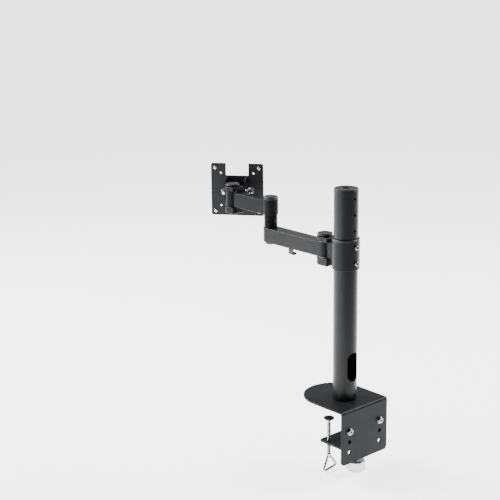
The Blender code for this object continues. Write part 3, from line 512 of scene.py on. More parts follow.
    @staticmethod
    def block(name: str, low: Spot, high: Spot, upright_radius: float = 0.0) -> Piece:
        """Adds a block between two corners, its upright edges rounded if asked.

        Args:
            name: Piece's name.
            low: Lowest corner.
            high: Highest corner.
            upright_radius: Radius of the four upright edges.

        Returns:
            The new piece.
        """
        Bench.clear()
        middle = [(a + b) / 2 for a, b in zip(low, high)]
        size = [b - a for a, b in zip(low, high)]
        bpy.ops.mesh.primitive_cube_add(size=1.0, location=middle, scale=size)
        piece = bpy.context.object
        piece.name = name
        Bench.settle(piece)
        if upright_radius > 0:
            bpy.ops.object.mode_set(mode="EDIT")
            Bench.pick("EDGE", lambda at: abs(at.z - middle[2]) < 1e-6)
            bpy.ops.mesh.bevel(offset=upright_radius, segments=6, affect="EDGES")
            Bench.close(piece)
        return piece

    @staticmethod
    def modify(piece: Piece, kind: str, **settings: object) -> None:
        """Adds a modifier and applies it."""
        Bench.take(piece)
        modifier = piece.modifiers.new(kind.lower(), kind)
        for key, value in settings.items():
            setattr(modifier, key, value)
        bpy.ops.object.modifier_apply(modifier=modifier.name)

    @staticmethod
    def soften(piece: Piece, width: float, segments: int = 3, angle: float = 40.0) -> None:
        """Rounds a piece's sharp edges."""
        Bench.modify(piece, "BEVEL", width=width, segments=segments, limit_method="ANGLE",
                     angle_limit=math.radians(angle), miter_outer="MITER_ARC", use_clamp_overlap=True)

    @staticmethod
    def mix(piece: Piece, tools: Sequence[Piece], operation: str) -> None:
        """Joins or cuts a piece with others, which are used up.

        Args:
            piece: Piece to change.
            tools: Pieces to join or cut with.
            operation: "UNION", "DIFFERENCE" or "INTERSECT".
        """
        for tool in tools:
            Bench.modify(piece, "BOOLEAN", operation=operation, solver="EXACT", object=tool)
            mesh = tool.data
            bpy.data.objects.remove(tool, do_unlink=True)
            bpy.data.meshes.remove(mesh)

    @staticmethod
    def drill(radius: float, low: float, high: float, place: Matrix, sides: int = 48) -> Piece:
        """Returns a round cutter that stands on its own Z and is then put in place."""
        cutter = Bench.turned("drill", [(radius, low), (radius, high)], sides)
        Bench.settle(cutter, place)
        return cutter

    @staticmethod
    def shade(piece: Piece, angle: float = 32.0) -> None:
        """Shades a piece smooth up to an angle, with flat faces kept flat."""
        Bench.take(piece)
        bpy.ops.object.shade_smooth_by_angle(angle=math.radians(angle))
        Bench.modify(piece, "WEIGHTED_NORMAL", keep_sharp=True, weight=60)

    @staticmethod
    def deliver(piece: Piece, body: str, finish: Finish, *nodes: str) -> None:
        """Shades, paints and mounts a finished piece.

        Args:
            piece: Finished piece.
            body: Body that it rides on.
            finish: Its finish.
            nodes: Frame nodes that it stands for.
        """
        Bench.shade(piece)
        piece.data.materials.clear()
        piece.data.materials.append(finish.material())
        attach(piece, body)
        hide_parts(*nodes)
        LOG.info("%s: %d faces, rides on %s", piece.name, len(piece.data.polygons), body)


def at(x: float, y: float, z: float, turn: Matrix = Matrix.Identity(4)) -> Matrix:
    """Returns a place in the frame, turned there."""
    return Matrix.Translation((x, y, z)) @ turn


def span(node: str) -> tuple[float, float, float, float, float]:
    """Returns a node's middle in x and y, its half width in x, and its lowest and highest points."""
    low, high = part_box(node)
    return (low[0] + high[0]) / 2, (low[1] + high[1]) / 2, (high[0] - low[0]) / 2, low[2], high[2]


@dataclass
class Fastener:
    """Screws and nuts, each turned and then cut."""

    sides: int = 48

    def screw(self, name: str, head: float, height: float, shank: float, length: float, key: float,
              place: Matrix,
              washer: float = 0.0) -> Piece:
        """Makes a button-head socket screw whose seat is at its own origin.

        Args:
            name: Piece's name.
            head: Head's radius.
            height: Head's height above its seat.
            shank: Shank's radius.
            length: Shank's length.
            key: Radius of the key socket's corners.
            place: Where the seat goes.
            washer: Radius of a washer under the head, or 0.

        Returns:
            The screw.
        """
        pitch = shank * 0.32
        threads = max(2, int(length * 0.7 / pitch))
        start = -length + shank * 0.5
        profile: list[Point] = [(shank * 0.6, -length), (shank * 0.84, start)]
        for turn in range(threads):
            base = start + turn * pitch
            if base + pitch > -0.0004:
                break
            profile += [(shank * 0.84, base + pitch * 0.15), (shank, base + pitch * 0.5),
                        (shank * 0.84, base + pitch * 0.9)]
        profile.append((shank * 0.97, profile[-1][1] + pitch * 0.2))
        profile.append((shank * 0.97, 0.0))
        crown = 0.0
        if washer > 0:
            crown = height * 0.26
            profile += [(washer - 0.0003, 0.0), (washer, 0.0003), (washer, crown - 0.0003),
                        (washer - 0.0003, crown),
                        (head - 0.0001, crown)]
        profile += [(head, crown), (head, crown + (height - crown) * 0.45)]
        top = height - crown
        for step in range(1, 7):
            turn = math.radians(90 * step / 7)
            profile.append((head * (0.58 + 0.42 * math.cos(turn)),
                            crown + top * (0.45 + 0.55 * math.sin(turn))))
        profile += [(head * 0.58, height), (key * 1.12, height)]
        piece = Bench.turned(name, profile, self.sides)
        socket = Bench.drill(key, height * 0.30, height + 0.002, Matrix.Identity(4), 6)
        Bench.mix(piece, [socket], "DIFFERENCE")
        Bench.settle(piece, place)
        return piece

    def nut(self, name: str, across: float, bore: float, thick: float, place: Matrix) -> Piece:
        """Makes a hexagon nut, its corners chamfered by turning, standing on its own origin.

        Args:
            name: Piece's name.
            across: Width across flats.
            bore: Bore's radius.
            thick: Nut's height.
            place: Where it goes.

        Returns:
            The nut.
        """
        corner = across / math.sqrt(3)
        nut = Bench.turned(name, [(corner, 0.0), (corner, thick)], 6)
        drop = (corner - across * 0.48) * 0.55
        cone = Bench.turned("cone", [(across * 0.48, 0.0), (corner * 1.01, drop),
                                     (corner * 1.01, thick - drop),
                                     (across * 0.48, thick)], self.sides)
        Bench.mix(nut, [cone], "INTERSECT")
        Bench.mix(nut, [Bench.drill(bore, -0.001, thick + 0.001, Matrix.Identity(4), self.sides)],
                  "DIFFERENCE")
        Bench.settle(nut, place)
        return nut


FASTENERS = Fastener()


# ---- desk clamp and pole -----------------------------------------------------------------------------

@dataclass
class DeskStand:
    """Folded desk plate, bracket and pole, all fixed to the desk."""

    body: str = "base"
    round_centre: float = 0.027
    plate_thickness: float = 0.004
    fold_radius: float = 0.002
    corner_radius: float = 0.008
    bolt_column: float = 0.045
    bolt_rows: tuple[float, ...] = (-0.041, -0.064, -0.087)
    bolt_hole: float = 0.00425
    bracket_thickness: float = 0.005
    pole_wall: float = 0.002
    slot_half_width: float = 0.014
    slot_low: float = 0.0475
    slot_high: float = 0.1105
    hole_top: float = 0.436
    hole_pitch: float = 0.0335
    hole_count: int = 5
    hole_radius: float = 0.003
    side_bore: float = 0.0041
    centre_bore: float = 0.0052

    def build(self) -> None:
        """Builds the whole stand."""
        self.desk_plate()
        self.desk_pad()
        self.bracket()
        self.pole()
        self.pole_cap()
        for label, side in (("left", -1), ("right", 1)):
            self.bracket_bolt(label, side)

    def desk_plate(self) -> None:
        """Cuts the round-fronted plate, folds its back down and drills it."""
        low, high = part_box("desk_plate")
        half = high[0]
        top = high[2]
        bottom = top - self.plate_thickness
        fold = low[1] + self.plate_thickness + self.fold_radius
        plate = Bench.lofted("desk_plate_folded", half, bottom, top, self.round_centre, rear=fold, sides=160)
        bpy.ops.object.mode_set(mode="EDIT")
        Bench.pick("FACE", lambda spot: spot.y < fold + 1e-5)
        Bench.fold(math.radians(90), "X", (0.0, fold, bottom - self.fold_radius), 10)
        Bench.push((0.0, 0.0, low[2] + self.fold_radius - bottom))
        Bench.pick("EDGE", lambda spot: abs(spot.z - low[2]) < 1e-5 and abs(spot.x) > half - 1e-5)
        bpy.ops.mesh.bevel(offset=self.corner_radius, segments=8, affect="EDGES")
        Bench.close(plate)
        holes = [Bench.drill(self.bolt_hole, -0.01, 0.01,
                             at(side * self.bolt_column, low[1], row, FACING_REAR))
                 for side in (-1, 1) for row in self.bolt_rows]
        Bench.mix(plate, holes, "DIFFERENCE")
        Bench.soften(plate, 0.00055, 3, 45)
        Bench.deliver(plate, self.body, POWDER_COAT, "desk_plate")

    def desk_pad(self) -> None:
        """Lays the thin protective pad under the plate."""
        low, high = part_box("desk_pad")
        pad = Bench.lofted("desk_pad_sheet", high[0], low[2], high[2], self.round_centre, rear=low[1],
                           sides=160)
        Bench.soften(pad, 0.00018, 2)
        Bench.deliver(pad, self.body, PAD_RUBBER, "desk_pad")

    def bracket(self) -> None:
        """Bends the clamp bracket and bores it for its bolts and the three clamp screws."""
        low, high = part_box("clamp_bracket")
        thick = self.bracket_thickness
        bend = 0.003
        inner = low[1] + thick
        shelf_top = low[2] + thick
        bracket = Bench.block("clamp_bracket_bent", (low[0], inner + bend, low[2]),
                              (high[0], high[1], shelf_top))
        bpy.ops.object.mode_set(mode="EDIT")
        Bench.pick("FACE", lambda spot: spot.y < inner + bend + 1e-5)
        Bench.fold(math.radians(-90), "X", (0.0, inner + bend, shelf_top + bend), 8)
        Bench.push((0.0, 0.0, high[2] - shelf_top - bend))
        Bench.pick("EDGE", lambda spot: abs(spot.x) > high[0] - 1e-5
                   and (abs(spot.y - high[1]) < 1e-5 or abs(spot.z - high[2]) < 1e-5))
        bpy.ops.mesh.bevel(offset=0.004, segments=5, affect="EDGES")
        Bench.close(bracket)
        bolts = [at(side * self.bolt_column, low[1], self.bolt_rows[0], FACING_REAR) for side in (-1, 1)]
        cutters = [Bench.drill(self.bolt_hole, -0.01, 0.012, bolt) for bolt in bolts]
        for node in ("clamp_screw_left", "clamp_screw_right", "clamp_screw_centre"):
            x, y, _, _, _ = span(node)
            bore = self.centre_bore if "centre" in node else self.side_bore
            cutters.append(Bench.drill(bore, low[2] - 0.002, shelf_top + 0.002, at(x, y, 0)))
        Bench.mix(bracket, cutters, "DIFFERENCE")
        Bench.soften(bracket, 0.0005, 3, 45)
        Bench.deliver(bracket, self.body, POWDER_COAT, "clamp_bracket")

    def bracket_bolt(self, label: str, side: int) -> None:
        """Fits one bracket bolt with its washer, and its nut.

        Args:
            label: "left" or "right".
            side: -1 or 1.
        """
        low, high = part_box(f"bracket_bolt_{label}")
        head_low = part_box("desk_plate")[0][1] - 0.0003
        bolt = FASTENERS.screw(f"bracket_bolt_{label}_chrome", head=0.0068, height=head_low - low[1],
                               shank=0.0039, length=high[1] - head_low, key=0.0030,
                               place=at(side * self.bolt_column, head_low, self.bolt_rows[0], FACING_REAR),
                               washer=0.0078)
        Bench.deliver(bolt, self.body, SHADE_DARKENED_CHROME, f"bracket_bolt_{label}")
        low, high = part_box(f"bracket_nut_{label}")
        nut = FASTENERS.nut(f"bracket_nut_{label}_hex", across=0.013, bore=0.0042, thick=high[1] - low[1],
                            place=at(side * self.bolt_column, low[1], self.bolt_rows[0], FACING_FRONT))
        Bench.deliver(nut, self.body, ZINC_PLATE, f"bracket_nut_{label}")

    def pole(self) -> None:
        """Draws the tube with eased rims at its ends, and cuts its cable slot and height holes."""
        _, _, radius, low, high = span("pole")
        inner = radius - self.pole_wall
        tube = Bench.turned("pole_tube", rounded([(inner, low, 0.0004), (radius, low, 0.0005),
                                                  (radius, high, 0.0005),
                                                  (inner, high, 0.0004)], True), 160, ring=True)
        width = self.slot_half_width
        slot = Bench.lofted("slot", width, 0.0, 0.03, self.slot_low + width, reach=self.slot_high - width,
                            sides=96)
        Bench.settle(slot, FACING_REAR)
        cutters = [slot] + [Bench.drill(self.hole_radius, 0.0, 0.03,
                                        at(0, 0, self.hole_top - index * self.hole_pitch, FACING_REAR))
                            for index in range(self.hole_count)]
        Bench.mix(tube, cutters, "DIFFERENCE")
        Bench.deliver(tube, self.body, POLE_COAT, "pole")

    def pole_cap(self) -> None:
        """Moulds the pole's push-in cap with its cable slot."""
        _, _, radius, low, high = span("pole_cap")
        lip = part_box("pole")[1][2] + 0.0003
        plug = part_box("pole")[1][0] - self.pole_wall - 0.0004
        cap = Bench.turned("pole_cap_moulded",
                           rounded([(0.010, low), (plug, low, 0.001), (plug, lip), (radius, lip, 0.0003),
                                    (radius, high, 0.0016), (0.0190, high, 0.0003),
                                    (0.0184, high - 0.0004, 0.0003),
                                    (0.010, high - 0.0004)]), 128)
        slot = Bench.lofted("slot", 0.006, low - 0.01, high + 0.01, -0.003, reach=0.003, sides=64)
        Bench.mix(cap, [slot], "DIFFERENCE")
        Bench.deliver(cap, self.body, MOULDED_PLASTIC, "pole_cap")


@dataclass
class ClampScrew:
    """One clamp screw, with the pad it turns in and the handle or knob that turns it."""

    label: str
    shank: float = 0.0038
    pitch: float = 0.00125
    wire: float = 0.0025
    handle_side: float = 0.040
    corner: float = 0.0042
    lean: float = math.radians(7)
    eye_above_base: float = 0.0048

    def build(self) -> None:
        """Builds the pad, the screw and the grip."""
        self.pad()
        self.screw()
        if self.label == "centre":
            self.knob()
        else:
            self.handle()

    def pad(self) -> None:
        """Moulds the swivel pad."""
        node = f"clamp_pad_{self.label}"
        x, y, radius, low, high = span(node)
        neck = self.shank
        pad = Bench.turned(f"{node}_moulded",
                           rounded([(neck * 0.5, low + 0.0022), (neck, low + 0.0022), (neck, low, 0.0003),
                                    (neck + 0.003, low, 0.0008), (radius, high - 0.0030, 0.0006),
                                    (radius, high, 0.0007), (radius * 0.6, high)]), 96)
        Bench.settle(pad, at(x, y, 0))
        Bench.deliver(pad, f"pad_{self.label}", MOULDED_PLASTIC, node)

    def screw(self) -> None:
        """Turns the threaded rod, ridge by ridge."""
        node = f"clamp_screw_{self.label}"
        x, y, _, low, high = span(node)
        profile: list[Point] = []
        start = low + 0.0006
        if self.label == "centre":
            profile = [(self.shank - 0.0006, low), (self.shank * 0.88, low + 0.0006)]
        else:
            boss_high = low + 0.0088
            profile = rounded([(0.0030, low), (0.0050, low, 0.0012), (0.0050, boss_high, 0.0007),
                               (self.shank, boss_high + 0.0012)])
            start = boss_high + 0.0016
            profile.append((self.shank * 0.88, start))
        height = start
        while height + self.pitch < high - 0.0065:
            profile += [(self.shank * 0.88, height + self.pitch * 0.1),
                        (self.shank, height + self.pitch * 0.42),
                        (self.shank, height + self.pitch * 0.58),
                        (self.shank * 0.88, height + self.pitch * 0.95)]
            height += self.pitch
        profile += [(self.shank * 0.86, high - 0.0052), (self.shank - 0.0008, high - 0.0050),
                    (self.shank - 0.0008, high - 0.0006), (self.shank - 0.0014, high)]
        screw = Bench.turned(f"{node}_threaded", profile, 64)
        Bench.settle(screw, at(x, y, 0))
        if self.label != "centre":
            Bench.mix(screw, [self.loop(f"{node}_eye", self.wire + 0.0003)], "DIFFERENCE")
        Bench.deliver(screw, f"screw_{self.label}", ROLLED_THREAD, node)

    def loop(self, name: str, radius: float) -> Piece:
        """Bends a closed triangle of round wire that hangs from the screw's eye.

        Args:
            name: Piece's name.
            radius: Radius of the wire.

        Returns:
            The new piece.
        """
        x, y, _, low, _ = span(f"clamp_screw_{self.label}")
        eye = low + self.eye_above_base
        toward = 1.0 if self.label == "left" else -1.0
        reach = self.handle_side / math.sqrt(3) - self.corner / math.sin(math.radians(30))
        top = reach + self.corner
        path: list[Point] = []
        for facing in (90, 210, 330):
            middle = (reach * math.cos(math.radians(facing)), reach * math.sin(math.radians(facing)) - top)
            for step in range(13):
                angle = math.radians(facing - 60 + 10 * step)
                path.append((middle[0] + self.corner * math.cos(angle),
                             middle[1] + self.corner * math.sin(angle)))
        Bench.clear()
        curve = bpy.data.curves.new(name, "CURVE")
        curve.dimensions = "3D"
        curve.bevel_depth = radius
        curve.bevel_resolution = 6
        spline = curve.splines.new("POLY")
        spline.points.add(len(path) - 1)
        cos, sin = math.cos(self.lean), math.sin(self.lean)
        for point, (across, height) in zip(spline.points, path):
            point.co = (x + toward * (across * cos - height * sin), y, eye + across * sin + height * cos, 1.0)
        spline.use_cyclic_u = True
        wire = bpy.data.objects.new(name, curve)
        bpy.context.collection.objects.link(wire)
        Bench.take(wire)
        bpy.ops.object.convert(target="MESH")
        wire = bpy.context.object
        bpy.ops.object.mode_set(mode="EDIT")
        Bench.close(wire)
        return wire

    def handle(self) -> None:
        """Hangs the triangular wire handle in the screw's eye."""
        node = f"clamp_handle_{self.label}"
        wire = self.loop(f"{node}_wire", self.wire)
        Bench.deliver(wire, f"screw_{self.label}", SHADE_DARKENED_CHROME, node)

    def knob(self) -> None:
        """Turns the round knob with its dished base and eased rims."""
        _, y, radius, low, high = span("clamp_knob")
        bore = self.shank + 0.0003
        knob = Bench.turned("clamp_knob_turned",
                            rounded([(0.006, low + 0.0006), (radius - 0.0060, low + 0.0006, 0.0004),
                                     (radius - 0.0052, low, 0.0004), (radius - 0.0014, low, 0.0006),
                                     (radius, low + 0.0016, 0.0006), (radius, low + 0.0040, 0.0002),
                                     (radius - 0.0005, low + 0.0044, 0.0002),
                                     (radius - 0.0005, low + 0.0050, 0.0002),
                                     (radius, low + 0.0054, 0.0002), (radius, high - 0.0030, 0.0008),
                                     (radius - 0.0022, high - 0.0008, 0.0008), (0.0100, high, 0.0006),
                                     (bore, high),
                                     (bore, high - 0.0143), (bore * 0.5, high - 0.0143)]), 128)
        Bench.settle(knob, at(0, y, 0))
        Bench.deliver(knob, "screw_centre", KNOB_METAL, "clamp_knob")


# ---- collar and arms ---------------------------------------------------------------------------------

def fork_ear(name: str, radius: float, centre: float, rear: float, low: float, high: float,
             upper: bool) -> Piece:
    """Makes one ear of a fork: square behind, round in front, with eased edges.

    Args:
        name: Piece's name.
        radius: Round front's radius.
        centre: Pivot's place along Y.
        rear: Square end's place along Y.
        low: Underside's height.
        high: Top's height.
        upper: Whether it is the fork's upper ear.

    Returns:
        The ear.
    """
    ear = Bench.lofted(name, radius, low, high, centre, rear=rear, sides=96)
    Bench.soften(ear, 0.0010 if upper else 0.0016, 4)
    return ear


def push_cap(name: str, node: str, body: str, recess: float) -> None:
    """Moulds a push-on pivot cap with a shallow dish in its top.

    Args:
        name: Piece's name.
        node: Frame node it stands for.
        body: Body it rides on.
        recess: Radius of the recess that takes the bolt's head.
    """
    x, y, radius, low, high = span(node)
    cap = Bench.turned(name, rounded([(recess * 0.4, high - 0.0011), (recess, high - 0.0011), (recess, low),
                                      (radius, low, 0.0003), (radius, high, 0.0014),
                                      (radius * 0.80, high, 0.0005),
                                      (radius * 0.76, high - 0.0005, 0.0005),
                                      (radius * 0.40, high - 0.0005)]), 96)
    Bench.settle(cap, at(x, y, 0))
    Bench.deliver(cap, body, MOULDED_PLASTIC, node)


@dataclass
class HeightCollar:
    """Collar that is set on the pole by two screws, with the shoulder fork."""

    body: str = "collar"
    shoulder: float = 0.060
    ear_radius: float = 0.017
    ear_rear: float = 0.038
    lower_ear: Point = (0.285, 0.3006)
    upper_ear: Point = (0.3352, 0.345)
    web_half_width: float = 0.010
    bore: float = 0.0266
    screw_heights: Point = (0.3355, 0.302)
    tap: float = 0.0031

    def build(self) -> None:
        """Builds the collar and what is fitted to it."""
        self.casting()
        self.liner()
        for label, height in zip(("upper", "lower"), self.screw_heights):
            node = f"collar_screw_{label}"
            low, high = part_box(node)
            seat = -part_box("collar")[1][0] - 0.0003
            screw = FASTENERS.screw(f"{node}_chrome", head=0.0050, height=seat - low[1], shank=0.0026,
                                    length=high[1] - seat, key=0.0025,
                                    place=at(0, seat, height, FACING_REAR))
            Bench.deliver(screw, self.body, SHADE_DARKENED_CHROME, node)
        self.pivot_bolt()
        push_cap("shoulder_cap_moulded", "shoulder_cap", self.body, 0.0086)

    def casting(self) -> None:
        """Joins ring, web and ears, and bores them."""
        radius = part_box("collar")[1][0]
        low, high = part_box("collar_liner")[0][2] - 0.001, 0.3464
        outline = rounded([(self.bore, low, 0.0003), (radius, low, 0.0008), (radius, high, 0.0005),
                           (self.bore, high, 0.0003)], True)
        ring = Bench.turned("collar_casting", outline, 160, ring=True)
        web = Bench.block("web", (-self.web_half_width, 0.0272, self.lower_ear[1] - 0.003),
                          (self.web_half_width, self.shoulder - 0.0165, self.upper_ear[0] + 0.0013))
        Bench.soften(web, 0.0006, 2)
        ears = [fork_ear("ear", self.ear_radius, self.shoulder, self.ear_rear, *self.lower_ear, False),
                fork_ear("ear", self.ear_radius, self.shoulder, self.ear_rear, *self.upper_ear, True)]
        Bench.mix(ring, [web] + ears, "UNION")
        bore = Bench.turned("bore", [(0.0090, 0.28), (0.0090, self.lower_ear[0] + 0.009),
                                     (0.0053, self.lower_ear[0] + 0.009), (0.0053, 0.36)], 64)
        Bench.settle(bore, at(0, self.shoulder, 0))
        taps = [Bench.drill(self.tap, 0.0, 0.04, at(0, 0, height, FACING_REAR))
                for height in self.screw_heights]
        Bench.mix(ring, [bore] + taps, "DIFFERENCE")
        Bench.deliver(ring, self.body, CAST_COAT, "collar")

    def liner(self) -> None:
        """Moulds the liner, whose lip shows above the collar."""
        _, _, radius, low, high = span("collar_liner")
        inner, outer, lip = 0.0253, self.bore - 0.0003, 0.3467
        liner = Bench.turned("collar_liner_moulded",
                             rounded([(inner, low, 0.0003), (outer, low, 0.0003), (outer, lip),
                                      (radius, lip, 0.0004),
                                      (radius, high, 0.0013), (inner, high, 0.0004)], True), 160, ring=True)
        taps = [Bench.drill(self.tap, 0.0, 0.04, at(0, 0, height, FACING_REAR))
                for height in self.screw_heights]
        Bench.mix(liner, taps, "DIFFERENCE")
        Bench.deliver(liner, self.body, SATIN_PLASTIC, "collar_liner")

    def pivot_bolt(self) -> None:
        """Fits the shoulder's standing bolt and nut."""
        low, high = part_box("shoulder_bolt")
        seat = self.upper_ear[1] + 0.0003
        bolt = FASTENERS.screw("shoulder_bolt_zinc", head=0.0080, height=high[2] - seat, shank=0.0049,
                               length=seat - low[2], key=0.0040, place=at(0, self.shoulder, seat))
        Bench.deliver(bolt, self.body, ZINC_PLATE, "shoulder_bolt")
        low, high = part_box("shoulder_nut")
        nut = FASTENERS.nut("shoulder_nut_hex", across=0.0155, bore=0.0052, thick=high[2] - low[2],
                            place=at(0, self.shoulder, low[2]))
        Bench.deliver(nut, self.body, ZINC_PLATE, "shoulder_nut")


@dataclass
class CableClip:
    """Hooked cable clip, with the screw that holds it to an arm."""

    prefix: str
    body: str
    wall: float = 0.0025
    inner_bend: float = 0.0015

    def build(self) -> None:
        """Builds the clip and its screw."""
        node = f"{self.prefix}_cable_clip"
        low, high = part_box(node)
        upward = self.prefix == "upper"
        width = high[1] - low[1]
        middle = (low[1] + high[1]) / 2
        half = (high[0] - low[0]) / 2
        tall = high[2] - low[2]
        wall, bend = self.wall, self.inner_bend
        clip = Bench.block(f"{node}_hook", (half - 0.0005, -width / 2, -wall), (half, width / 2, 0.0))
        bpy.ops.object.mode_set(mode="EDIT")
        Bench.pick("FACE", lambda spot: spot.x < half - 0.0004)
        Bench.push((-(2 * half - 0.0005 - wall - bend), 0.0, 0.0))
        Bench.fold(math.radians(-90), "Y", (-half + wall + bend, 0.0, -wall - bend), 6)
        Bench.push((0.0, 0.0, -(tall - 2 * (wall + bend))))
        Bench.fold(math.radians(-90), "Y", (-half + wall + bend, 0.0, -tall + wall + bend), 6)
        run = 2 * half - 0.003 - 2 * (wall * 0.7 + bend) - 0.002
        Bench.push((run, 0.0, 0.0))
        Bench.fold(math.radians(-70), "Y", (-half + wall + bend + run, 0.0, -tall + wall + bend), 5)
        Bench.push((0.0006, 0.0, 0.0016))
        Bench.close(clip)
        Bench.soften(clip, 0.0004, 2, 50)
        seat = low[2] if upward else high[2]
        turn = Matrix.Rotation(math.pi, 4, "Y") if upward else Matrix.Identity(4)
        Bench.settle(clip, at(0, middle, seat, turn))
        Bench.deliver(clip, self.body, SATIN_PLASTIC, node)
        node = f"{self.prefix}_clip_screw"
        low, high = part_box(node)
        head = 0.0018
        if upward:
            place = at(0, middle, high[2] - head)
        else:
            place = at(0, middle, low[2] + head, UNDERSIDE)
        screw = FASTENERS.screw(f"{node}_zinc", head=0.0029, height=head, shank=0.00145, length=0.008,
                                key=0.0011, place=place)
        Bench.deliver(screw, self.body, ZINC_PLATE, node)


@dataclass
class LowerArm:
    """Link from the shoulder to the elbow, with the elbow's bolt and spacers."""

    body: str = "lower_arm"
    shoulder: float = 0.060
    elbow: float = 0.225
    edge: float = 0.0013

    def build(self) -> None:
        """Builds the link and what rides on it."""
        low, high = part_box("lower_arm")
        radius = 0.015
        arm = Bench.lofted("lower_arm_link", radius, low[2], high[2], self.shoulder, reach=self.elbow,
                           sides=128)
        bpy.ops.object.mode_set(mode="EDIT")
        Bench.pick("VERT", lambda spot: spot.y > self.elbow - 1e-6)
        Bench.scale((high[0] / radius, high[0] / radius, 1.0), (0.0, self.elbow, 0.0))
        Bench.close(arm)
        Bench.soften(arm, self.edge, 4)
        bores = [Bench.drill(0.0067, 0.29, 0.35, at(0, self.shoulder, 0)),
                 Bench.drill(0.0062, 0.29, 0.35, at(0, self.elbow, 0))]
        Bench.mix(arm, bores, "DIFFERENCE")
        Bench.deliver(arm, self.body, CAST_COAT, "lower_arm")
        CableClip("lower", self.body).build()
        self.elbow_pieces()

    def elbow_pieces(self) -> None:
        """Fits the elbow's bolt, its two spacers and its nut."""
        y = self.elbow
        low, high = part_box("elbow_bolt")
        shoulder_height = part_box("lower_arm")[0][2] - 0.0003
        bolt = Bench.turned("elbow_bolt_disc",
                            rounded([(0.0060, low[2] + 0.0008), (0.0068, low[2], 0.0004),
                                     (0.0120, low[2], 0.0014),
                                     (0.0120, shoulder_height, 0.0003), (0.0059, shoulder_height),
                                     (0.0059, high[2] - 0.0006), (0.0054, high[2])]), 96)
        Bench.settle(bolt, at(0, y, 0))
        Bench.deliver(bolt, self.body, MOULDED_PLASTIC, "elbow_bolt")
        for node in ("elbow_spacer_lower", "elbow_spacer_upper"):
            _, _, radius, bottom, top = span(node)
            ring = Bench.turned(f"{node}_ring",
                                rounded([(0.0062, bottom), (radius - 0.0008, bottom),
                                         (radius, bottom + 0.0012),
                                         (radius, top - 0.0012), (radius - 0.0008, top), (0.0062, top)],
                                         True), 128,
                                ring=True)
            Bench.settle(ring, at(0, y, 0))
            Bench.deliver(ring, self.body, GLOSS_PLASTIC, node)
        low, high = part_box("elbow_nut")
        nut = FASTENERS.nut("elbow_nut_hex", across=0.018, bore=0.0062, thick=high[2] - low[2],
                            place=at(0, y, low[2]))
        Bench.deliver(nut, self.body, ZINC_PLATE, "elbow_nut")


@dataclass
class UpperArm:
    """Link from the elbow to the wrist fork."""

    body: str = "upper_arm"
    elbow: float = 0.225
    wrist: float = 0.350
    half_width: float = 0.015
    beam: Point = (0.3628, 0.3942)
    barrel: Point = (0.3623, 0.3945)
    beam_end: float = 0.329
    ear_radius: float = 0.0165
    ear_rear: float = 0.3300
    lower_ear: Point = (0.346, 0.3595)
    upper_ear: Point = (0.397, 0.4053)

    def build(self) -> None:
        """Builds the link, its caps and its clip."""
        self.casting()
        self.elbow_cap()
        self.pivot_bolt()
        push_cap("wrist_cap_moulded", "wrist_cap", self.body, 0.0076)
        CableClip("upper", self.body).build()

    def casting(self) -> None:
        """Joins the barrel, the beam and the wrist fork, and bores them."""
        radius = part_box("upper_arm")[1][0]
        arm = Bench.turned("upper_arm_link", rounded([(0.010, self.barrel[0]),
                                                      (radius, self.barrel[0], 0.0008),
                                                      (radius, self.barrel[1], 0.0008),
                                                      (0.010, self.barrel[1])]), 128)
        Bench.settle(arm, at(0, self.elbow, 0))
        beam = Bench.block("beam", (-self.half_width, self.elbow + 0.003, self.beam[0]),
                           (self.half_width, self.beam_end, self.beam[1]))
        Bench.soften(beam, 0.0013, 4)
        wall = Bench.block("wall", (-0.009, self.beam_end - 0.004, self.lower_ear[0] + 0.003),
                           (0.009, self.wrist - 0.0158, self.upper_ear[1] - 0.002))
        Bench.soften(wall, 0.0006, 2)
        ears = [fork_ear("ear", self.ear_radius, self.wrist, self.ear_rear, *self.lower_ear, False),
                fork_ear("ear", self.ear_radius, self.wrist, self.ear_rear, *self.upper_ear, True)]
        Bench.mix(arm, [beam, wall] + ears, "UNION")
        bore = Bench.turned("bore", [(0.0080, 0.34), (0.0080, self.lower_ear[0] + 0.007),
                                     (0.0043, self.lower_ear[0] + 0.007), (0.0043, 0.41)], 64)
        Bench.settle(bore, at(0, self.wrist, 0))
        Bench.mix(arm, [bore, Bench.drill(0.0082, 0.35, 0.41, at(0, self.elbow, 0))], "DIFFERENCE")
        Bench.deliver(arm, self.body, SHADED_CAST_COAT, "upper_arm")

    def elbow_cap(self) -> None:
        """Moulds the elbow's domed cap."""
        _, y, radius, low, high = span("elbow_cap")
        cap = Bench.turned("elbow_cap_moulded",
                           rounded([(0.0050, high - 0.0018), (0.0112, high - 0.0018), (0.0112, low),
                                    (radius - 0.0006, low, 0.0002), (radius, low + 0.0007, 0.0002),
                                    (radius, high, 0.0036), (0.0060, high)], steps=8), 128)
        Bench.settle(cap, at(0, y, 0))
        Bench.deliver(cap, self.body, MOULDED_PLASTIC, "elbow_cap")

    def pivot_bolt(self) -> None:
        """Fits the wrist's bolt and nut."""
        low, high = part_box("wrist_bolt")
        seat = self.upper_ear[1] + 0.0003
        bolt = FASTENERS.screw("wrist_bolt_zinc", head=0.0070, height=high[2] - seat, shank=0.0039,
                               length=seat - low[2], key=0.0035, place=at(0, self.wrist, seat))
        Bench.deliver(bolt, self.body, ZINC_PLATE, "wrist_bolt")
        low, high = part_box("wrist_nut")
        nut = FASTENERS.nut("wrist_nut_hex", across=0.013, bore=0.0042, thick=high[2] - low[2],
                            place=at(0, self.wrist, low[2]))
        Bench.deliver(nut, self.body, ZINC_PLATE, "wrist_nut")


# ---- head --------------------------------------------------------------------------------------------

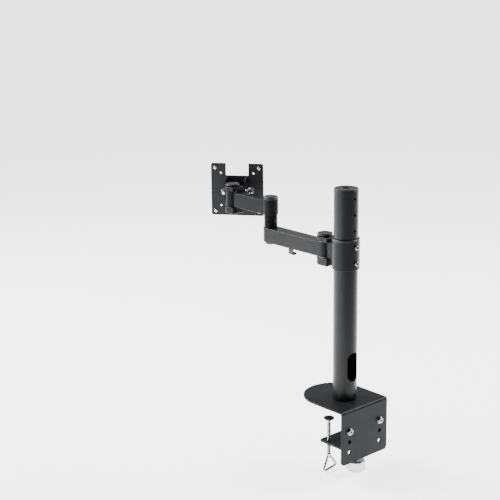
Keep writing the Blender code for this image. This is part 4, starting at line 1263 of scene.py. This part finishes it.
@dataclass
class ScreenHead:
    """Swivel block, tilt bracket and screen plate, laid out straight ahead and then turned into place."""

    wrist: float = 0.350
    heading: float = math.radians(-52)
    height: float = 0.385
    tilt_axis: float = 0.033
    barrel_radius: float = 0.0115
    barrel_half: float = 0.0197
    bracket_outer: float = 0.0235
    bracket_thickness: float = 0.0035
    bracket_rear: float = 0.025
    bracket_front: float = 0.053
    bracket_half_height: float = 0.030
    plate_back: float = 0.0548
    plate_thickness: float = 0.0025
    plate_half: float = 0.060
    notch_half: float = 0.026
    notch_depth: float = 0.028
    squares: Point = (0.050, 0.0375)

    def place(self, turn: Matrix = Matrix.Identity(4), across: float = 0.0, out: float = 0.0,
              up: float = 0.0) -> Matrix:
        """Returns a place in the head's own frame, carried to the object's frame."""
        return at(0, self.wrist, 0, Matrix.Rotation(self.heading, 4, "Z")) @ at(across, out, up, turn)

    def build(self) -> None:
        """Builds the head's three bodies."""
        self.swivel_block()
        self.tilt_fasteners()
        self.tilt_bracket()
        self.rotation_pieces()
        self.screen_plate()

    def swivel_block(self) -> None:
        """Joins the swivel barrel, its neck and the tilt barrel."""
        low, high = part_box("swivel_block")
        block = Bench.turned("swivel_block_cast", rounded([(0.009, low[2]), (0.0150, low[2], 0.0010),
                                                           (0.0150, high[2], 0.0010), (0.009, high[2])]), 128)
        neck = Bench.block("neck", (-0.0088, 0.004, 0.3712), (0.0088, self.tilt_axis, 0.3935))
        Bench.soften(neck, 0.0014, 4)
        barrel = Bench.turned("barrel", rounded([(0.005, -self.barrel_half),
                                                 (self.barrel_radius, -self.barrel_half,
                                                                             0.0007),
                                                 (self.barrel_radius, self.barrel_half, 0.0007),
                                                 (0.005, self.barrel_half)]), 96)
        Bench.settle(barrel, at(0, self.tilt_axis, self.height, FACING_RIGHT))
        Bench.mix(block, [neck, barrel], "UNION")
        Bench.mix(block, [Bench.drill(0.0043, 0.35, 0.41, Matrix.Identity(4)),
                          Bench.drill(0.0043, -0.03, 0.03, at(0, self.tilt_axis, self.height, FACING_RIGHT))],
                  "DIFFERENCE")
        Bench.settle(block, self.place())
        Bench.deliver(block, "swivel", SHADED_CAST_COAT, "swivel_block")

    def tilt_fasteners(self) -> None:
        """Fits the tilt axle's bolt and nut."""
        seat = self.bracket_outer + 0.0003
        bolt = FASTENERS.screw("tilt_bolt_zinc", head=0.0060, height=0.0045, shank=0.0039, length=0.0550,
                               key=0.0032,
                               place=self.place(FACING_RIGHT, seat, self.tilt_axis, self.height),
                               washer=0.0072)
        Bench.deliver(bolt, "swivel", ZINC_PLATE, "tilt_bolt")
        nut = FASTENERS.nut("tilt_nut_hex", across=0.013, bore=0.0042, thick=0.0060,
                            place=self.place(FACING_RIGHT, -seat - 0.0060, self.tilt_axis, self.height))
        Bench.deliver(nut, "swivel", ZINC_PLATE, "tilt_nut")

    def tilt_bracket(self) -> None:
        """Bends the tilt bracket and rounds its ears."""
        outer, thick, half = self.bracket_outer, self.bracket_thickness, self.bracket_half_height
        rear, front = self.bracket_rear, self.bracket_front
        bend = 0.0012
        bracket = Bench.block("tilt_bracket_bent", (-outer + thick + bend, front - thick, -half),
                              (outer - thick - bend, front, half))
        bpy.ops.object.mode_set(mode="EDIT")
        for side in (1, -1):
            Bench.pick("FACE", lambda spot: spot.x * side > outer - thick - bend - 1e-5)
            hinge = (side * (outer - thick - bend), front - thick - bend, 0.0)
            Bench.fold(math.radians(-90 * side), "Z", hinge, 8)
            Bench.push((0.0, rear - (front - thick - bend), 0.0))
        Bench.pick("EDGE", lambda spot: abs(spot.y - rear) < 1e-5 and abs(spot.z) > half - 1e-5)
        bpy.ops.mesh.bevel(offset=0.012, segments=10, affect="EDGES")
        Bench.close(bracket)
        Bench.mix(bracket, [Bench.drill(0.0043, -0.03, 0.03, at(0, self.tilt_axis, 0, FACING_RIGHT)),
                            Bench.drill(0.0052, 0.040, 0.060, Matrix.Identity(4) @ FACING_FRONT)],
                            "DIFFERENCE")
        Bench.soften(bracket, 0.0004, 2, 45)
        Bench.settle(bracket, self.place(up=self.height))
        Bench.deliver(bracket, "tilt", POWDER_COAT, "tilt_bracket")

    def rotation_pieces(self) -> None:
        """Fits the disc, bolt and nut that the screen plate turns on."""
        disc = Bench.turned("rotation_disc_washer",
                            rounded([(0.0052, self.bracket_front + 0.0003),
                                     (0.0180, self.bracket_front + 0.0003,
                                                                             0.0003),
                                     (0.0180, self.plate_back - 0.0003, 0.0003),
                                     (0.0052, self.plate_back - 0.0003)],
                                    True), 96, ring=True)
        Bench.settle(disc, self.place(FACING_FRONT, up=self.height))
        Bench.deliver(disc, "tilt", BUSH_NYLON, "rotation_disc")
        seat = self.plate_back + self.plate_thickness + 0.0003
        bolt = FASTENERS.screw("rotation_bolt_zinc", head=0.0090, height=0.0015, shank=0.0049,
                               length=seat - 0.0460, key=0.0038,
                               place=self.place(FACING_FRONT, out=seat, up=self.height))
        Bench.deliver(bolt, "tilt", ZINC_PLATE, "rotation_bolt")
        inside = self.bracket_front - self.bracket_thickness - 0.0043
        nut = FASTENERS.nut("rotation_nut_hex", across=0.0155, bore=0.0052, thick=0.0040,
                            place=self.place(FACING_FRONT, out=inside, up=self.height))
        Bench.deliver(nut, "tilt", ZINC_PLATE, "rotation_nut")

    def screen_plate(self) -> None:
        """Cuts the screen plate, with its notch and screw squares, and fits its four screws."""
        half, back, thick = self.plate_half, self.plate_back, self.plate_thickness
        plate = Bench.block("screen_plate_cut", (-half, -half, 0.0), (half, half, thick), 0.004)
        notch = Bench.block("notch", (-self.notch_half, half - self.notch_depth, -0.01),
                            (self.notch_half, half + 0.02, thick + 0.01), 0.002)
        holes = [Bench.drill(0.0023, -0.01, 0.01, at(side * reach, level * reach, 0))
                 for reach in self.squares for side in (-1, 1) for level in (-1, 1)]
        Bench.mix(plate, [notch, Bench.drill(0.0052, -0.01, 0.01, Matrix.Identity(4))] + holes, "DIFFERENCE")
        Bench.soften(plate, 0.0003, 2, 45)
        upright = Matrix.Rotation(math.radians(90), 4, "X")
        Bench.settle(plate, self.place(upright, out=back + thick, up=self.height))
        Bench.deliver(plate, "screen_plate", SHEET_COAT, "vesa_plate")
        reach = self.squares[0]
        for index, (side, level) in enumerate([(-1, -1), (-1, 1), (1, -1), (1, 1)]):
            corner = self.place(FACING_REAR, side * reach, back - 0.0003, self.height + level * reach)
            screw = FASTENERS.screw(f"screen_screw_{index + 1}", head=0.0039, height=0.0024, shank=0.0019,
                                    length=0.0095, key=0.0013, place=corner)
            Bench.deliver(screw, "screen_plate", POLISHED_CHROME, f"vesa_screw_{index + 1}")


# ---- studio ------------------------------------------------------------------------------------------

@dataclass
class Studio:
    """Pale floor, soft lights and the camera."""

    floor_gap: float = 0.0006
    pale: tuple[float, float, float] = (0.90, 0.90, 0.90)
    glow: Point = (0.06, 3.0)
    ahead: Spot = (0.668, 0.744, 0.0)
    glow_toward: Spot = (0.120, 0.993, 0.0)
    glow_ramp: Point = (-0.75, -0.25)
    camera_place: Spot = (-1.76218, -1.69908, 0.98773)
    azimuth: float = math.radians(41.93)
    pitch: float = math.radians(15.01)
    roll: float = math.radians(-0.61)
    lens: float = 89.6
    shift: Point = (-0.0188, -0.0053)

    def build(self) -> None:
        """Lays the floor, hangs the lights and sets the camera."""
        self.floor()
        self.world()
        self.light("key", (-2.0, 0.9, 1.3), 1.2, 26.0)
        self.light("edge", (-0.57, 1.75, 1.76), 0.8, 110.0)
        self.light("rear_rim", (1.5, -0.55, 1.6), 0.7, 70.0)
        self.camera()

    def floor(self) -> None:
        """Lays a pale matt floor under the object, wide enough to hide its edge, and makes it glow as painted
        light, dim on the camera's side and bright under the arm and beyond.
        """
        Bench.clear()
        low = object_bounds()[0][2] - self.floor_gap
        bpy.ops.mesh.primitive_plane_add(size=120.0, location=(0.0, 0.0, low))
        floor = bpy.context.object
        floor.name = "studio_floor"
        paint = bpy.data.materials.new("studio_paper")
        paint.use_nodes = True
        shader = paint.node_tree.nodes["Principled BSDF"]
        shader.inputs["Base Color"].default_value = (*self.pale, 1.0)
        shader.inputs["Roughness"].default_value = 0.85
        shader.inputs["Emission Color"].default_value = (*self.pale, 1.0)
        tree = paint.node_tree
        # Painted light: the floor's emission lights the arm from below and ahead, though the floor is no
        # lamp.
        glow = self.fade(tree, "Object", self.glow_toward, self.glow_ramp, self.glow)
        tree.links.new(glow, shader.inputs["Emission Strength"])
        floor.data.materials.append(paint)
        floor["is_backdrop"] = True

    @staticmethod
    def fade(tree: bpy.types.NodeTree, place: str, along: Spot, start: Point,
             end: Point) -> bpy.types.NodeSocket:
        """Adds a value that changes smoothly along one direction.

        Args:
            tree: Node tree to add to.
            place: Name of the texture coordinate to read.
            along: Unit direction of the change.
            start: Distances along the direction where the change begins and ends.
            end: Values at those distances.

        Returns:
            The socket that carries the value.
        """
        spot = tree.nodes.new("ShaderNodeTexCoord")
        distance = tree.nodes.new("ShaderNodeVectorMath")
        distance.operation = "DOT_PRODUCT"
        distance.inputs[1].default_value = along
        tree.links.new(spot.outputs[place], distance.inputs[0])
        ramp = tree.nodes.new("ShaderNodeMapRange")
        ramp.interpolation_type = "SMOOTHSTEP"
        for name, value in (("From Min", start[0]), ("From Max", start[1]), ("To Min", end[0]),
                            ("To Max", end[1])):
            ramp.inputs[name].default_value = value
        tree.links.new(distance.outputs["Value"], ramp.inputs["Value"])
        return ramp.outputs["Result"]

    def world(self) -> None:
        """Lights the surroundings from dark behind the camera to bright ahead of it."""
        world = bpy.data.worlds.new("studio_air")
        world.use_nodes = True
        back = world.node_tree.nodes["Background"]
        back.inputs["Color"].default_value = (0.95, 0.96, 0.98, 1.0)
        strength = self.fade(world.node_tree, "Generated", self.ahead, (-0.5, 0.8), (0.08, 0.70))
        world.node_tree.links.new(strength, back.inputs["Strength"])
        bpy.context.scene.world = world

    @staticmethod
    def light(name: str, place: Spot, size: float, power: float) -> None:
        """Hangs one soft square light that faces the arm.

        Args:
            name: Light's name.
            place: Where it hangs.
            size: Side of the square, in metres.
            power: Power in watts.
        """
        lamp = bpy.data.lights.new(name, "AREA")
        lamp.size = size
        lamp.energy = power
        holder = bpy.data.objects.new(name, lamp)
        holder.location = place
        aim = Vector((0.0, 0.12, 0.2)) - Vector(place)
        holder.rotation_euler = aim.to_track_quat("-Z", "Y").to_euler()
        bpy.context.collection.objects.link(holder)

    def camera(self) -> None:
        """Sets the camera behind the desk, to the arm's left and above it."""
        forward = Vector((math.sin(self.azimuth) * math.cos(self.pitch),
                          math.cos(self.azimuth) * math.cos(self.pitch), -math.sin(self.pitch)))
        level = Vector((math.cos(self.azimuth), -math.sin(self.azimuth), 0.0))
        upright = level.cross(forward)
        right = level * math.cos(self.roll) + upright * math.sin(self.roll)
        up = upright * math.cos(self.roll) - level * math.sin(self.roll)
        lens = bpy.data.cameras.new("studio_camera")
        lens.lens = self.lens
        lens.sensor_width = 36.0
        lens.shift_x, lens.shift_y = self.shift
        lens.clip_start, lens.clip_end = 0.05, 40.0
        holder = bpy.data.objects.new("studio_camera", lens)
        turn = Matrix((right, up, -forward)).transposed()
        holder.matrix_world = Matrix.Translation(self.camera_place) @ turn.to_4x4()
        bpy.context.collection.objects.link(holder)
        bpy.context.scene.camera = holder


def dress_kept_nodes(kept: dict[str, Finish]) -> None:
    """Gives each frame node that is still shown its finish.

    Args:
        kept: Node names and their finishes.
    """
    for name, finish in kept.items():
        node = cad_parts[name]
        node.data.materials.clear()
        node.data.materials.append(finish.material())
        LOG.info("%s keeps its own mesh", name)


def main() -> None:
    """Builds every sub-assembly in order, then the studio."""
    logging.basicConfig(level=logging.INFO, format="%(name)s: %(message)s")
    DeskStand().build()
    for clamp in (ClampScrew("left"), ClampScrew("right"), ClampScrew("centre", 0.0049, 0.0015)):
        clamp.build()
    HeightCollar().build()
    LowerArm().build()
    UpperArm().build()
    ScreenHead().build()
    dress_kept_nodes({
        "pole_foot": ZINC_PLATE,
        "pole_foot_screw_1": ZINC_PLATE,
        "pole_foot_screw_2": ZINC_PLATE,
        "pole_foot_screw_3": ZINC_PLATE,
        "shoulder_bush": BUSH_NYLON,
        "shoulder_washer_upper": BUSH_NYLON,
        "shoulder_washer_lower": BUSH_NYLON,
        "elbow_bush": BUSH_NYLON,
    })
    Studio().build()


if __name__ == "__main__":
    main()
